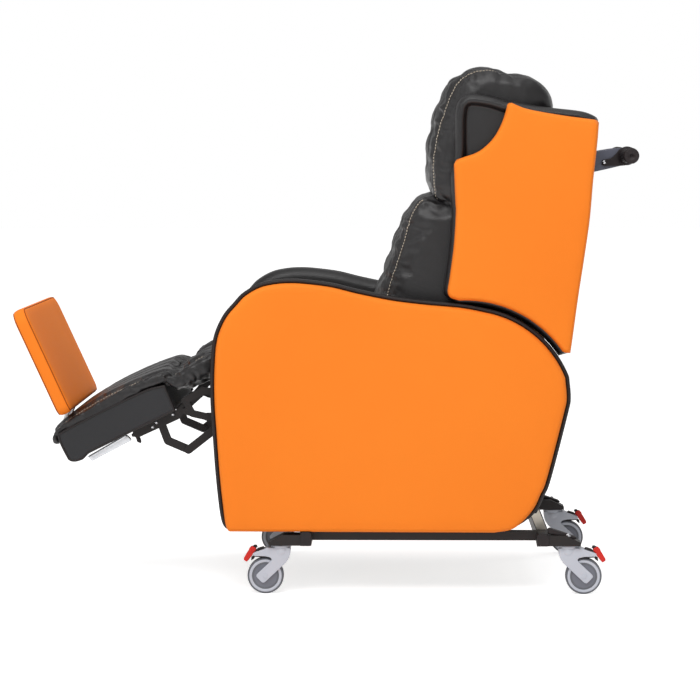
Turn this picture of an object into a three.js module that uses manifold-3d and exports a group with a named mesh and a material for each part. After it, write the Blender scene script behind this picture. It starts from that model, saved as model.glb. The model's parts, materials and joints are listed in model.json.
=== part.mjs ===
// A mobile wing-back recliner: a tilting seat on a castored steel chassis, a reclining winged back,
// a raised legrest on flat-bar links and a folding footplate. Millimetres, +Z up, the front faces -Y.
import * as THREE from "three";
import { mergeVertices } from "three/addons/utils/BufferGeometryUtils.js";
import Module from "manifold-3d";

const wasm = await Module();
wasm.setup();

// Driving dimensions

const overallWidth = 700;
const fitGap = 0.3;
const weldTolerance = 0.001;
const cutOverrun = 5;

// Castors
const castorInset = 32;
const wheelRadius = 37.5;
const wheelWidth = 22;
const wheelFacets = 24;
const hubRadius = 28;
const hubWidth = 24;
const axleRadius = 4;
const axleClearance = 0.4;
const castorTrail = 32;
const cheekThickness = 3;
const cheekClearance = 1.5;
const cheekWidth = 30;
const forkCrownHeight = 8;
const forkCrownRadius = 20;
const forkCrownGap = 4;
const stemRadius = 6;
const stemLength = 10;
const stemClearance = 0.4;
const pedalWidth = 22;
const pedalThickness = 12;
const pedalLength = 42;
const pedalPinReach = 51.5;
const pedalPinRadius = 2.5;
const pedalPinClearance = 0.5;
const pedalEarThickness = 3;
const pedalEarGap = 1;
const pedalTail = 6;
const pedalAngleDegrees = 58;

// Chassis
const railHeight = 19;
const railWidth = 25;
const railOuterInset = 34;
const beamDepth = 25;
const beamHeight = 22;
const beamUnderside = 101;
const frontBeamPlace = -191.5;
const rearBeamPlace = 298;
const railStep = 5.5;
const armRestGap = 2.5;
const castorArmWidth = 50;
const castorArmReach = 63;
const armNoseHeight = 7;
const armNoseLength = 30;

// Seat tilt
const tiltPivotPlace = 277;
const tiltPivotRise = 52;
const tiltShaftRadius = 8;
const tiltShaftOverhang = 4;
const uprightWidth = 20;
const uprightThickness = 6;
const uprightInset = 110;
const pivotClearance = 0.5;
const tiltEyeRadius = 18;

// Gas spring of the tilt
const springFootPlace = -91;
const springFootRise = 45;
const springHeadPlace = 60;
const springHeadDrop = 40;
const springTubeRadius = 12;
const springRodRadius = 6;
const springTubeShare = 0.72;
const springEyeRadius = 14;
const springPinRadius = 4;
const springFootBore = 4.6;
const springHeadBore = 9;
const springEyeWidth = 12;
const springNeckLength = 28;
const lugThickness = 5;
const lugGap = 1;
const lugReach = 14;

// Seat
const seatRailWidth = 25;
const seatRailHeight = 30;
const seatRailFront = -368;
const seatRailRear = 160;
const bracketThickness = 6;
const boardThickness = 12;
const boardFront = -380;
const boardRear = 96;
const crossTubeDepth = 25;
const crossTubeHeight = 24;
const frontCrossTubePlace = -250;
const cushionGap = 3;
const seatCushionFront = -398;
const seatCushionLength = 493;
const seatCushionHeight = 122;
const seatCushionDrawIn = 8;

// Arms
const armThickness = 68;
const armPanelThickness = 22;
const pipingBand = 8;
const armFront = -386;
const armLength = 738;
const armHeight = 517;
const panelBevel = 4;

// Back recline
const reclinePivotRise = 3;
const reclineShaftRadius = 10;
const wingGap = 12;
const hingePlateInset = 120;
const hingePlateThickness = 8;
const hingeEyeRadius = 20;

// Wings and back
const wingThickness = 66;
const wingPanelThickness = 20;
const wingOuterInset = 4;
const wingDepthShare = 0.41734;
const wingHeight = 513;
const wingLead = 37;
const wingFootAngle = 33;
const shellThickness = 18;
const frameThickness = 18;
const frameSetback = 69;
const frameRise = 117;
const frameLean = 42;
const frameHeight = 420;
const backCushionRise = 139;
const backCushionHeight = 331;
const backCushionDepth = 232;
const backCushionLead = 188;
const headCushionGap = 4;
const headCushionHeight = 249;
const headCushionDepth = 270;
const headCushionSetback = 108;
const backCushionDrawIn = 8;
const channelDepth = 9;

// Push handle
const handleReach = 71;
const handleDrop = 108;
const handleRadius = 11;
const handleSpan = 520;
const gripRadius = 16;
const gripLength = 130;
const gripClearance = 0.3;
const handlePlateThickness = 6;
const handlePlateSpacing = 240;
const handlePlateHeight = 40;

// Legrest and its links
const legPivotPlace = -406;
const legPivotRise = 53;
const lowerPivotPlace = -349;
const lowerPivotDrop = 2;
const linkRun = -88;
const linkDrop = -69;
const linkWidth = 17;
const linkThickness = 6;
const linkGap = 0.5;
const linkPinRadius = 4;
const linkBore = 4.6;
const linkElbowShare = 0.45;
const linkElbow = 17;
const legrestSlopeDegrees = 24.7;
const legrestSideGap = 7;
const legrestLength = 246;
const legrestThickness = 57;
const legrestRearOffset = 65.5;
const legrestTopOffset = 44.4;
const legrestPadHeight = 36;
const legrestPadDrawIn = 6;
const linkRailDepth = 20;
const linkRailLength = 96;
const flapHeight = 90;
const flapInset = 114;

// Footplate
const footplateOverhang = 5;
const footplateLength = 237;
const footplateThickness = 25;
const footplateFaceDrawIn = 4;
const footHingeRise = 49;
const footHingeReach = 214;
const footHingeInset = 8;
const footplateTail = 18;
const footHingeRadius = 6;
const footHingeClearance = 0.5;
const footArmSpacing = 300;
const footArmWidth = 25;
const footArmThickness = 6;
const footArmLength = 150;
const footArmGap = 0.5;
const footNotchClearance = 3;

// Finishes

const finishes = {
  orange: new THREE.MeshStandardMaterial({ color: 0xff8c2e, roughness: 0.45, metalness: 0 }),
  black: new THREE.MeshStandardMaterial({ color: 0x2e2b2d, roughness: 0.5, metalness: 0 }),
  steel: new THREE.MeshStandardMaterial({ color: 0x342f2f, roughness: 0.45, metalness: 0.4 }),
  silver: new THREE.MeshStandardMaterial({ color: 0xb9bcc2, roughness: 0.3, metalness: 0.9 }),
  castor: new THREE.MeshStandardMaterial({ color: 0xc3c6d0, roughness: 0.4, metalness: 0.1 }),
  tyre: new THREE.MeshStandardMaterial({ color: 0x777a80, roughness: 0.7, metalness: 0 }),
  red: new THREE.MeshStandardMaterial({ color: 0xdd3226, roughness: 0.4, metalness: 0 }),
  wood: new THREE.MeshStandardMaterial({ color: 0xb98d5a, roughness: 0.7, metalness: 0 }),
};

// Geometry helpers

const sideView = new THREE.Matrix4().makeBasis(
  new THREE.Vector3(0, 1, 0),
  new THREE.Vector3(0, 0, 1),
  new THREE.Vector3(1, 0, 0)
);
const degrees = Math.PI / 180;
const sides = [
  { name: "left", sign: 1 },
  { name: "right", sign: -1 },
];

// A geometry of positions alone, its shared corners merged.
function plain(geometry) {
  const bare = geometry.index ? geometry.toNonIndexed() : geometry.clone();
  bare.deleteAttribute("normal");
  bare.deleteAttribute("uv");
  return mergeVertices(bare, weldTolerance);
}

function toSolid(geometry) {
  const merged = plain(geometry);
  const triVerts = new Uint32Array(merged.index.array);
  const make = () =>
    new wasm.Manifold(
      new wasm.Mesh({ numProp: 3, vertProperties: merged.attributes.position.array, triVerts })
    );
  const solid = make();
  if (solid.volume() > 0) return solid;
  for (let corner = 0; corner < triVerts.length; corner += 3) {
    const first = triVerts[corner];
    triVerts[corner] = triVerts[corner + 1];
    triVerts[corner + 1] = first;
  }
  return make();
}

function toGeometry(solid) {
  const made = solid.getMesh();
  const places = new Float32Array(made.numVert * 3);
  for (let corner = 0; corner < made.numVert; corner++)
    for (let part = 0; part < 3; part++)
      places[corner * 3 + part] = made.vertProperties[corner * made.numProp + part];
  const geometry = new THREE.BufferGeometry();
  geometry.setAttribute("position", new THREE.BufferAttribute(places, 3));
  geometry.setIndex(new THREE.BufferAttribute(made.triVerts, 1));
  geometry.computeVertexNormals();
  return geometry;
}

function join(...pieces) {
  return toGeometry(pieces.map(toSolid).reduce((whole, piece) => whole.add(piece)));
}

function cut(body, ...tools) {
  return toGeometry(tools.map(toSolid).reduce((left, tool) => left.subtract(tool), toSolid(body)));
}

// A box from its middle and its sizes.
function block(x, y, z, sizeX, sizeY, sizeZ) {
  return new THREE.BoxGeometry(sizeX, sizeY, sizeZ).translate(x, y, z);
}

// A round bar along X from its middle.
function barAcross(x, y, z, radius, length, facets = 16) {
  return new THREE.CylinderGeometry(radius, radius, length, facets)
    .rotateZ(Math.PI / 2)
    .translate(x, y, z);
}

// A flat piece drawn in the side view (y, z) and given a thickness along X about a middle.
function sidePiece(points, middleX, thickness, bevel = 0) {
  const shape = new THREE.Shape(points);
  const geometry = new THREE.ExtrudeGeometry(shape, {
    depth: thickness - 2 * bevel,
    bevelEnabled: bevel > 0,
    bevelThickness: bevel,
    bevelSize: bevel,
    bevelOffset: -bevel,
    bevelSegments: 1,
  });
  return geometry
    .translate(0, 0, bevel - thickness / 2)
    .applyMatrix4(sideView)
    .translate(middleX, 0, 0);
}

// Points of an outline pushed in along its own normals.
function inset(points, distance) {
  const count = points.length;
  const turn = THREE.ShapeUtils.area(points) > 0 ? 1 : -1;
  return points.map((point, index) => {
    const before = points[(index + count - 1) % count];
    const after = points[(index + 1) % count];
    const along = after.clone().sub(before).normalize();
    return new THREE.Vector2(
      point.x - along.y * distance * turn,
      point.y + along.x * distance * turn
    );
  });
}

// A stadium-shaped link between two pivots, with round ends.
function linkPoints(from, to, width) {
  const along = Math.atan2(to.y - from.y, to.x - from.x);
  const path = new THREE.Path();
  path.absarc(to.x, to.y, width / 2, along - Math.PI / 2, along + Math.PI / 2, false);
  path.absarc(from.x, from.y, width / 2, along + Math.PI / 2, along + (3 * Math.PI) / 2, false);
  return openLoop(path.getPoints(3));
}

// A closed list of points without its repeated ones.
function openLoop(points) {
  return points.filter((point, index) => {
    const next = points[(index + 1) % points.length];
    return point.distanceTo(next) > 0.05 * fitGap;
  });
}

function point(y, z) {
  return new THREE.Vector2(y, z);
}

// Shares of a length and a height, turned into places.
function placed(shares, originY, originZ, length, height) {
  return shares.map(([y, z]) => point(originY + y * length, originZ + z * height));
}

// A smooth curve through places.
function curveThrough(points) {
  return new THREE.SplineCurve(points);
}

const channelSpreadShare = 0.035;

// A stuffed form between a rear curve and a front curve, which both run from its foot to its head.
// Its thickness eases off towards the sides and the ends, and its sides draw in between the corners.
function stuffed(form) {
  const { rear, front, halfWidth, cells, rimShare, endShare, drawIn } = form;
  const { channels = [], depth = 0 } = form;
  const grid = new THREE.BoxGeometry(2, 1, 1, cells[0], cells[1], cells[2]);
  const places = grid.attributes.position;
  for (let index = 0; index < places.count; index++) {
    const across = Math.sin((places.getX(index) * Math.PI) / 2);
    const along = 0.5 + Math.sin(places.getY(index) * Math.PI) / 2;
    const through = places.getZ(index) + 0.5;
    const ease = Math.sqrt(Math.max(0, 1 - across ** 6));
    const endPlace = 2 * along - 1;
    const endEase = Math.sqrt(Math.max(0, 1 - endPlace ** 8));
    const fullness = (rimShare + (1 - rimShare) * ease) * (endShare + (1 - endShare) * endEase);
    const depthPlace = 0.5 + (through - 0.5) * fullness;
    const rearPoint = rear.getPoint(along);
    const frontPoint = front.getPoint(along);
    const line = frontPoint.clone().sub(rearPoint);
    const length = line.length();
    const pressed = channels.reduce(
      (sum, place) => sum + Math.exp(-(((along - place) / channelSpreadShare) ** 2)),
      0
    );
    const dip = (depth * pressed * ease * Math.max(0, through - 0.5) * 2) / length;
    const spot = rearPoint.add(line.multiplyScalar(depthPlace - dip));
    const waist = drawIn * (1 - endPlace ** 2) * (1 - Math.abs(2 * through - 1) ** 2 * 0.4);
    places.setXYZ(index, across * (halfWidth - waist), spot.x, spot.y);
  }
  return toGeometry(toSolid(grid));
}

// Scene graph: one group for the whole piece

const recliner = new THREE.Group();

function add(name, geometry, finish) {
  const made = new THREE.Mesh(geometry, finishes[finish]);
  made.name = name;
  recliner.add(made);
  return made;
}

// Worked-out places

const halfWidth = overallWidth / 2;
const castorSpacing = overallWidth - 2 * castorInset;
const armInner = halfWidth - armThickness;
const beamTop = beamUnderside + beamHeight;
const railTop = beamTop + railStep;
const armUnderside = railTop + armRestGap;
const tiltPivotHeight = beamTop + tiltPivotRise;

// The arc in the arm's outline is round the pivot that the back turns on.
const armPivotShares = [0.70732, 0.448743];
const armArcShare = 0.3103;
const reclinePivotPlace = armFront + armPivotShares[0] * armLength;
const reclinePivotHeight = armUnderside + armPivotShares[1] * armHeight;
const armArcRadius = armArcShare * armLength;

const seatRailTop = reclinePivotHeight - reclinePivotRise;
const seatBase = seatRailTop - seatRailHeight;
const springFootHeight = beamTop + springFootRise;
const springHeadHeight = seatRailTop - springHeadDrop;
const legPivotHeight = seatRailTop + legPivotRise;
const lowerPivotHeight = seatRailTop - lowerPivotDrop;

const wingFront = reclinePivotPlace - wingLead;
const wingArcRadius = armArcRadius + wingGap;
const wingDepth = wingDepthShare * armLength;
const wingFoot = reclinePivotHeight + wingArcRadius * Math.sin(wingFootAngle * degrees);
const frameFootPlace = reclinePivotPlace + frameSetback;
const frameFootHeight = reclinePivotHeight + frameRise;
const frameHeadPlace = frameFootPlace + frameLean;
const frameHeadHeight = frameFootHeight + frameHeight;
const backCushionFoot = reclinePivotHeight + backCushionRise;
const backCushionFront = reclinePivotPlace - backCushionLead;
const headCushionFoot = backCushionFoot + backCushionHeight + headCushionGap;
const headCushionFront = backCushionFront + headCushionSetback;
const handlePlace = wingFront + wingDepth + handleReach;
const handleHeight = wingFoot + wingHeight - handleDrop;

const legrestWidth = 2 * (armInner - legrestSideGap);
const footplateWidth = legrestWidth + 2 * footplateOverhang;
const bracketOuter = armInner - fitGap - seatRailWidth;
const bracketInner = bracketOuter - bracketThickness;
const firstLinkMiddle = bracketInner - linkGap - linkThickness / 2;
const secondLinkMiddle = firstLinkMiddle - linkThickness - linkGap;

// Castors: a fork that swivels, a wheel of a tyre and a hub, and a brake pedal

const corners = [];
for (const end of [
  { name: "front", sign: -1, beam: frontBeamPlace, reach: castorArmReach },
  { name: "rear", sign: 1, beam: rearBeamPlace, reach: castorArmReach },
])
  for (const side of sides) {
    const swivel = end.beam + end.sign * (beamDepth / 2 + end.reach - castorArmWidth / 2 - fitGap);
    corners.push({ end, side, x: (side.sign * castorSpacing) / 2, swivel });
  }

function forkCheek(x, direction) {
  const top = beamUnderside - fitGap - forkCrownGap - forkCrownHeight;
  const points = [
    point(-cheekWidth * 0.55, top),
    point(cheekWidth * 0.55, top),
    point(castorTrail + cheekWidth * 0.28, wheelRadius + cheekWidth * 0.3),
    point(castorTrail + cheekWidth * 0.3, wheelRadius - cheekWidth * 0.28),
    point(castorTrail - cheekWidth * 0.24, wheelRadius - cheekWidth * 0.3),
    point(-cheekWidth * 0.45, top - cheekWidth * 0.4),
  ].map((spot) => point(spot.x * direction, spot.y));
  return sidePiece(points, x, cheekThickness);
}

for (const { end, side, x, swivel } of corners) {
  const tag = end.name + "_" + side.name;
  const axlePlace = swivel + end.sign * castorTrail;
  const crownTop = beamUnderside - fitGap - forkCrownGap;
  const cheekMiddle = hubWidth / 2 + cheekClearance + cheekThickness / 2;
  const crown = new THREE.CylinderGeometry(forkCrownRadius, forkCrownRadius, forkCrownHeight, 16)
    .rotateX(Math.PI / 2)
    .translate(x, swivel, crownTop - forkCrownHeight / 2);
  const collarHeight = forkCrownGap;
  const collar = new THREE.CylinderGeometry(stemRadius * 2, stemRadius * 2, collarHeight * 2, 12)
    .rotateX(Math.PI / 2)
    .translate(x, swivel, crownTop);
  const stem = new THREE.CylinderGeometry(stemRadius, stemRadius, stemLength + collarHeight, 12)
    .rotateX(Math.PI / 2)
    .translate(x, swivel, beamUnderside + (stemLength - collarHeight) / 2);
  const deck = block(
    x,
    swivel,
    crownTop - forkCrownHeight / 2,
    2 * cheekMiddle + cheekThickness,
    cheekWidth,
    forkCrownHeight
  );
  const axle = barAcross(x, axlePlace, wheelRadius, axleRadius, 2 * cheekMiddle + cheekThickness, 12);
  const cheeks = [-1, 1].map((turn) => {
    const cheek = forkCheek(x + turn * cheekMiddle, end.sign);
    return cheek.translate(0, swivel, 0);
  });
  const earMiddle = (pedalWidth + pedalEarThickness) / 2 + pedalEarGap;
  const nose = pedalPinReach - pedalTail - pedalThickness;
  const shelf = block(
    x,
    swivel + (end.sign * nose) / 2,
    crownTop - forkCrownHeight / 2,
    2 * earMiddle + pedalEarThickness,
    nose,
    forkCrownHeight
  );
  const ears = [-1, 1].map((turn) =>
    block(
      x + turn * earMiddle,
      swivel + end.sign * (nose + pedalPinReach) * 0.5,
      crownTop - pedalTail,
      pedalEarThickness,
      pedalPinReach - nose + 4 * pedalPinRadius,
      pedalTail * 2
    )
  );
  const pedalPin = barAcross(
    x,
    swivel + end.sign * pedalPinReach,
    crownTop - pedalTail,
    pedalPinRadius,
    2 * earMiddle,
    12
  );
  add(
    "castor_fork_" + tag,
    join(crown, collar, stem, deck, axle, ...cheeks, shelf, ...ears, pedalPin),
    "castor"
  );

  // Turned by half a facet, the tyre stands on a flat one, its corners a little outside its radius.
  const halfFacet = Math.PI / wheelFacets;
  const round = (radius, width) =>
    barAcross(0, 0, 0, radius, width, wheelFacets)
      .rotateX(halfFacet)
      .translate(x, axlePlace, wheelRadius);
  const tread = round(wheelRadius / Math.cos(halfFacet), wheelWidth);
  const seat = round(hubRadius + fitGap, wheelWidth + cutOverrun);
  add("castor_tyre_" + tag, cut(tread, seat), "tyre");
  const axleBore = round(axleRadius + axleClearance, hubWidth + cutOverrun);
  add("castor_hub_" + tag, cut(round(hubRadius, hubWidth), axleBore), "castor");

  const pinPlace = swivel + end.sign * pedalPinReach;
  const pinHeight = crownTop - pedalTail;
  const lever = block(0, pedalLength / 2 - pedalTail, 0, pedalWidth, pedalLength, pedalThickness)
    .rotateX(-pedalAngleDegrees * degrees)
    .scale(1, end.sign, 1)
    .translate(x, pinPlace, pinHeight);
  const pedalBore = barAcross(
    x,
    pinPlace,
    pinHeight,
    pedalPinRadius + pedalPinClearance,
    pedalWidth + cutOverrun,
    12
  );
  add("brake_pedal_" + tag, cut(lever, pedalBore), "red");
}

// Chassis: two side rails, a front beam and a rear beam that carry the castors

const railMiddle = halfWidth - railOuterInset - railWidth / 2;
const railLength = rearBeamPlace - frontBeamPlace - beamDepth - 2 * fitGap;
for (const side of sides)
  add(
    "chassis_rail_" + side.name,
    block(
      side.sign * railMiddle,
      (frontBeamPlace + rearBeamPlace) / 2,
      railTop - railHeight / 2,
      railWidth,
      railLength,
      railHeight
    ),
    "steel"
  );

function castorArm(x, end) {
  const near = end.beam + (end.sign * beamDepth) / 2;
  const far = near + end.sign * end.reach;
  const points = [
    point(near, beamUnderside),
    point(far, beamUnderside),
    point(far, beamUnderside + armNoseHeight),
    point(far - end.sign * armNoseLength, beamTop),
    point(near, beamTop),
  ];
  return sidePiece(points, x, castorArmWidth);
}

for (const name of ["front", "rear"]) {
  const own = corners.filter((corner) => corner.end.name === name);
  const end = own[0].end;
  const beam = block(
    0,
    end.beam,
    beamUnderside + beamHeight / 2,
    castorSpacing + castorArmWidth,
    beamDepth,
    beamHeight
  );
  const pieces = [beam, ...own.map((corner) => castorArm(corner.x, end))];
  if (name === "front")
    for (const turn of [-1, 1]) {
      const lugMiddle = turn * (springEyeWidth / 2 + lugGap + lugThickness / 2);
      const points = [
        point(frontBeamPlace, beamUnderside),
        point(frontBeamPlace + beamDepth, beamUnderside),
        point(springFootPlace + lugReach, springFootHeight - lugReach),
        point(springFootPlace + lugReach, springFootHeight + lugReach),
        point(springFootPlace - lugReach, springFootHeight + lugReach),
        point(frontBeamPlace, beamTop + lugReach),
      ];
      pieces.push(sidePiece(points, lugMiddle, lugThickness));
    }
  const bores = own.map((corner) =>
    new THREE.CylinderGeometry(
      stemRadius + stemClearance,
      stemRadius + stemClearance,
      2 * stemLength + cutOverrun,
      12
    )
      .rotateX(Math.PI / 2)
      .translate(corner.x, corner.swivel, beamUnderside)
  );
  let body = cut(join(...pieces), ...bores);
  if (name === "front") {
    const pinLength = springEyeWidth + 2 * lugGap + lugThickness;
    body = join(body, barAcross(0, springFootPlace, springFootHeight, springPinRadius, pinLength));
  }
  add("chassis_" + name + "_beam", body, "steel");
}

// Tilt uprights and their shaft, on the rear beam

const uprightMiddle = halfWidth - uprightInset;
for (const side of sides) {
  const foot = beamTop + fitGap;
  const points = [
    point(rearBeamPlace - uprightWidth / 2, foot),
    point(rearBeamPlace + uprightWidth / 2, foot),
    point(tiltPivotPlace + uprightWidth / 2, tiltPivotHeight),
    point(tiltPivotPlace + uprightWidth / 3, tiltPivotHeight + uprightWidth / 2),
    point(tiltPivotPlace - uprightWidth / 3, tiltPivotHeight + uprightWidth / 2),
    point(tiltPivotPlace - uprightWidth / 2, tiltPivotHeight),
  ];
  const middle = side.sign * uprightMiddle;
  const bore = barAcross(
    middle,
    tiltPivotPlace,
    tiltPivotHeight,
    tiltShaftRadius + fitGap,
    uprightThickness + cutOverrun
  );
  add("tilt_upright_" + side.name, cut(sidePiece(points, middle, uprightThickness), bore), "silver");
}
add(
  "tilt_shaft",
  barAcross(
    0,
    tiltPivotPlace,
    tiltPivotHeight,
    tiltShaftRadius,
    2 * (bracketOuter + tiltShaftOverhang)
  ),
  "silver"
);

// Gas spring: a tube that swings on the front beam's lugs, and a rod that slides in it

const springRun = springHeadPlace - springFootPlace;
const springRise = springHeadHeight - springFootHeight;
const springLength = Math.hypot(springRun, springRise);
const springSlope = Math.atan2(springRise, springRun);

// A round bar along the spring between two distances from its foot.
function alongSpring(radius, from, to, facets = 20) {
  return new THREE.CylinderGeometry(radius, radius, to - from, facets)
    .translate(0, (from + to) / 2, 0)
    .rotateX(springSlope)
    .translate(0, springFootPlace, springFootHeight);
}

function eye(y, z, bore) {
  return [
    barAcross(0, y, z, springEyeRadius, springEyeWidth),
    barAcross(0, y, z, bore, springEyeWidth + cutOverrun),
  ];
}

const tubeEnd = springLength * springTubeShare;
const footEye = eye(springFootPlace, springFootHeight, springFootBore);
const tubeBody = cut(
  alongSpring(springTubeRadius, springNeckLength, tubeEnd, 20),
  alongSpring(springRodRadius + fitGap, springNeckLength + springEyeWidth, tubeEnd + cutOverrun, 16)
);
const neck = alongSpring(springRodRadius, springEyeRadius * 0.8, springNeckLength + fitGap, 16);
add("gas_spring_tube", cut(join(tubeBody, neck, footEye[0]), footEye[1]), "steel");
const headEye = eye(springHeadPlace, springHeadHeight, springHeadBore);
const rodBody = alongSpring(
  springRodRadius,
  springNeckLength + 2 * springEyeWidth,
  springLength - springEyeRadius * 0.8,
  16
);
add("gas_spring_rod", cut(join(rodBody, headEye[0]), headEye[1]), "silver");

// Seat frame: side rails with their brackets, two cross tubes, the recline shaft and a board

const bracketElbowShares = [0.5, -3.2];
const bracketStripShares = [
  [[0, 0], [1.6, -0.15], 0.85],
  [[1.6, -0.15], [3.4, -0.2], 0.75],
  [[0, 0], [-2.2, -1.2], 0.9],
  [[-2.2, -1.2], [-1.3, -2.8], 0.8],
  [[-2.25, -2.5], [-1.3, -2.8], 0.75],
  [[-1.3, -2.8], bracketElbowShares, 0.85],
];
for (const side of sides) {
  const middle = side.sign * (armInner - fitGap - seatRailWidth / 2);
  const bracketMiddle = side.sign * (bracketOuter - bracketThickness / 2);
  const rail = block(
    middle,
    (seatRailFront + seatRailRear) / 2,
    seatRailTop - seatRailHeight / 2,
    seatRailWidth,
    seatRailRear - seatRailFront,
    seatRailHeight
  );
  const bracketDepth = bracketThickness + fitGap;
  const bracketX = bracketMiddle + (side.sign * fitGap) / 2;
  const spot = (run, rise) => point(legPivotPlace + run * linkWidth, legPivotHeight + rise * linkWidth);
  const lowerEnd = point(lowerPivotPlace, lowerPivotHeight);
  const strips = bracketStripShares.map(([from, to, width]) => [spot(...from), spot(...to), width]);
  strips.push([spot(...bracketElbowShares), lowerEnd, 1]);
  strips.push([lowerEnd, point(frontCrossTubePlace, seatRailTop - linkWidth), 1]);
  const straps = strips.map(([from, to, width]) =>
    sidePiece(linkPoints(from, to, width * linkWidth), bracketX, bracketDepth)
  );
  const tail = [
    point(seatRailRear - seatRailHeight * 4, seatBase),
    point(tiltPivotPlace - tiltEyeRadius, tiltPivotHeight - tiltEyeRadius * 0.5),
    point(tiltPivotPlace - tiltEyeRadius * 0.5, tiltPivotHeight - tiltEyeRadius),
    point(tiltPivotPlace + tiltEyeRadius * 0.5, tiltPivotHeight - tiltEyeRadius * 0.9),
    point(tiltPivotPlace + tiltEyeRadius, tiltPivotHeight),
    point(seatRailRear, seatRailTop),
    point(seatRailRear - seatRailHeight * 4, seatRailTop),
  ];
  const plates = [sidePiece(tail, bracketX, bracketDepth), ...straps];
  const bores = [
    [tiltPivotPlace, tiltPivotHeight, tiltShaftRadius + pivotClearance],
    [reclinePivotPlace, reclinePivotHeight, reclineShaftRadius + fitGap],
  ].map(([y, z, radius]) => barAcross(middle, y, z, radius, 4 * seatRailWidth));
  const pins = [
    [legPivotPlace, legPivotHeight],
    [lowerPivotPlace, lowerPivotHeight],
  ].map(([y, z]) =>
    barAcross(side.sign * (firstLinkMiddle + linkThickness / 2), y, z, linkPinRadius, 2 * linkThickness)
  );
  const steel = join(rail, ...plates, ...pins);
  add("seat_rail_" + side.name, cut(steel, ...bores), "steel");
}

const tubeLength = 2 * (bracketInner - fitGap);
const tubeMiddle = seatRailTop - fitGap - crossTubeHeight / 2;
add(
  "seat_front_tube",
  block(0, frontCrossTubePlace, tubeMiddle, tubeLength, crossTubeDepth, crossTubeHeight),
  "steel"
);
{
  const tube = block(0, springHeadPlace, tubeMiddle, tubeLength, crossTubeDepth, crossTubeHeight);
  const lugs = [-1, 1].map((turn) => {
    const middle = turn * (springEyeWidth / 2 + lugGap + lugThickness / 2);
    const top = tubeMiddle;
    const points = [
      point(springHeadPlace - lugReach / 2, springHeadHeight - lugReach / 2),
      point(springHeadPlace + lugReach / 2, springHeadHeight - lugReach / 2),
      point(springHeadPlace + lugReach / 2, top),
      point(springHeadPlace - lugReach / 2, top),
    ];
    return sidePiece(points, middle, lugThickness);
  });
  const notch = barAcross(
    0,
    springHeadPlace,
    springHeadHeight,
    springEyeRadius + springPinRadius + fitGap,
    springEyeWidth + 2 * lugGap
  );
  const pin = barAcross(
    0,
    springHeadPlace,
    springHeadHeight,
    springPinRadius,
    springEyeWidth + 2 * lugGap + lugThickness
  );
  add("seat_rear_tube", join(cut(join(tube, ...lugs), notch), pin), "steel");
}
add(
  "recline_shaft",
  barAcross(0, reclinePivotPlace, reclinePivotHeight, reclineShaftRadius, 2 * (armInner - 2 * fitGap)),
  "silver"
);
add(
  "seat_board",
  block(
    0,
    (boardFront + boardRear) / 2,
    seatRailTop + fitGap + boardThickness / 2,
    2 * (bracketInner - 2 * linkThickness - 4 * linkGap),
    boardRear - boardFront,
    boardThickness
  ),
  "wood"
);

// Seat cushion

const seatTopShares = [
  [0, 0.62], [0.012, 0.86], [0.07, 0.985], [0.22, 1], [0.5, 0.96], [0.8, 0.89], [1, 0.84],
];
const seatUnderShares = [[0.03, 0], [0.3, 0], [0.7, 0], [1, 0]];
const seatCushionBase = seatRailTop + boardThickness + 2 * fitGap;
const onSeat = (shares) =>
  placed(shares, seatCushionFront, seatCushionBase, seatCushionLength, seatCushionHeight);
{
  const full = stuffed({
    rear: curveThrough(onSeat(seatUnderShares)),
    front: curveThrough(onSeat(seatTopShares)),
    halfWidth: armInner - cushionGap,
    cells: [12, 14, 3],
    rimShare: 0.84,
    endShare: 0.8,
    drawIn: seatCushionDrawIn,
  });
  const stepHeight = legPivotHeight + linkWidth - seatCushionBase;
  const steps = sides.map((side) =>
    block(
      side.sign * (bracketInner - linkThickness + armThickness),
      seatCushionFront + seatCushionLength / 2,
      seatCushionBase + stepHeight / 2 - cutOverrun,
      2 * armThickness,
      seatCushionLength * 1.2,
      stepHeight + 2 * cutOverrun
    )
  );
  add("seat_cushion", cut(full, ...steps), "black");
}

// Arms: a dark upholstered inner with a piped edge, and an orange panel outside

const armFrontShares = [
  [0.05, 0.002], [0.036, 0.018], [0.026, 0.068], [0.015, 0.207], [0.007, 0.361], [0, 0.525],
  [0.001, 0.658], [0.009, 0.768], [0.034, 0.853], [0.065, 0.907], [0.091, 0.946], [0.134, 0.981],
  [0.18, 0.996], [0.225, 1], [0.272, 0.996], [0.34, 0.983], [0.409, 0.959], [0.507, 0.931],
  [0.598, 0.915], [0.7, 0.902],
];
const armRearShares = [
  [1, 0.533], [0.993, 0.471], [0.946, 0.207], [0.927, 0.139], [0.909, 0.085], [0.88, 0.045],
  [0.84, 0.012], [0.79, 0],
];

function armOutline() {
  const front = placed(armFrontShares, armFront, armUnderside, armLength, armHeight);
  const rear = placed(armRearShares, armFront, armUnderside, armLength, armHeight);
  const path = new THREE.Path();
  path.moveTo(front[0].x, front[0].y);
  path.splineThru(front.slice(1));
  path.absarc(reclinePivotPlace, reclinePivotHeight, armArcRadius, 78 * degrees, 22 * degrees, true);
  path.splineThru(rear);
  return openLoop(path.getPoints(1));
}

const armPoints = armOutline();
for (const side of sides) {
  const padThickness = armThickness - armPanelThickness - fitGap;
  const padMiddle = side.sign * (armInner + padThickness / 2);
  const panelMiddle = side.sign * (halfWidth - armPanelThickness / 2);
  add("arm_inner_" + side.name, sidePiece(armPoints, padMiddle, padThickness, panelBevel), "black");
  add(
    "arm_panel_" + side.name,
    sidePiece(inset(armPoints, pipingBand), panelMiddle, armPanelThickness, panelBevel),
    "orange"
  );
}

// Back: wings, shell, frame, cushions

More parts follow.
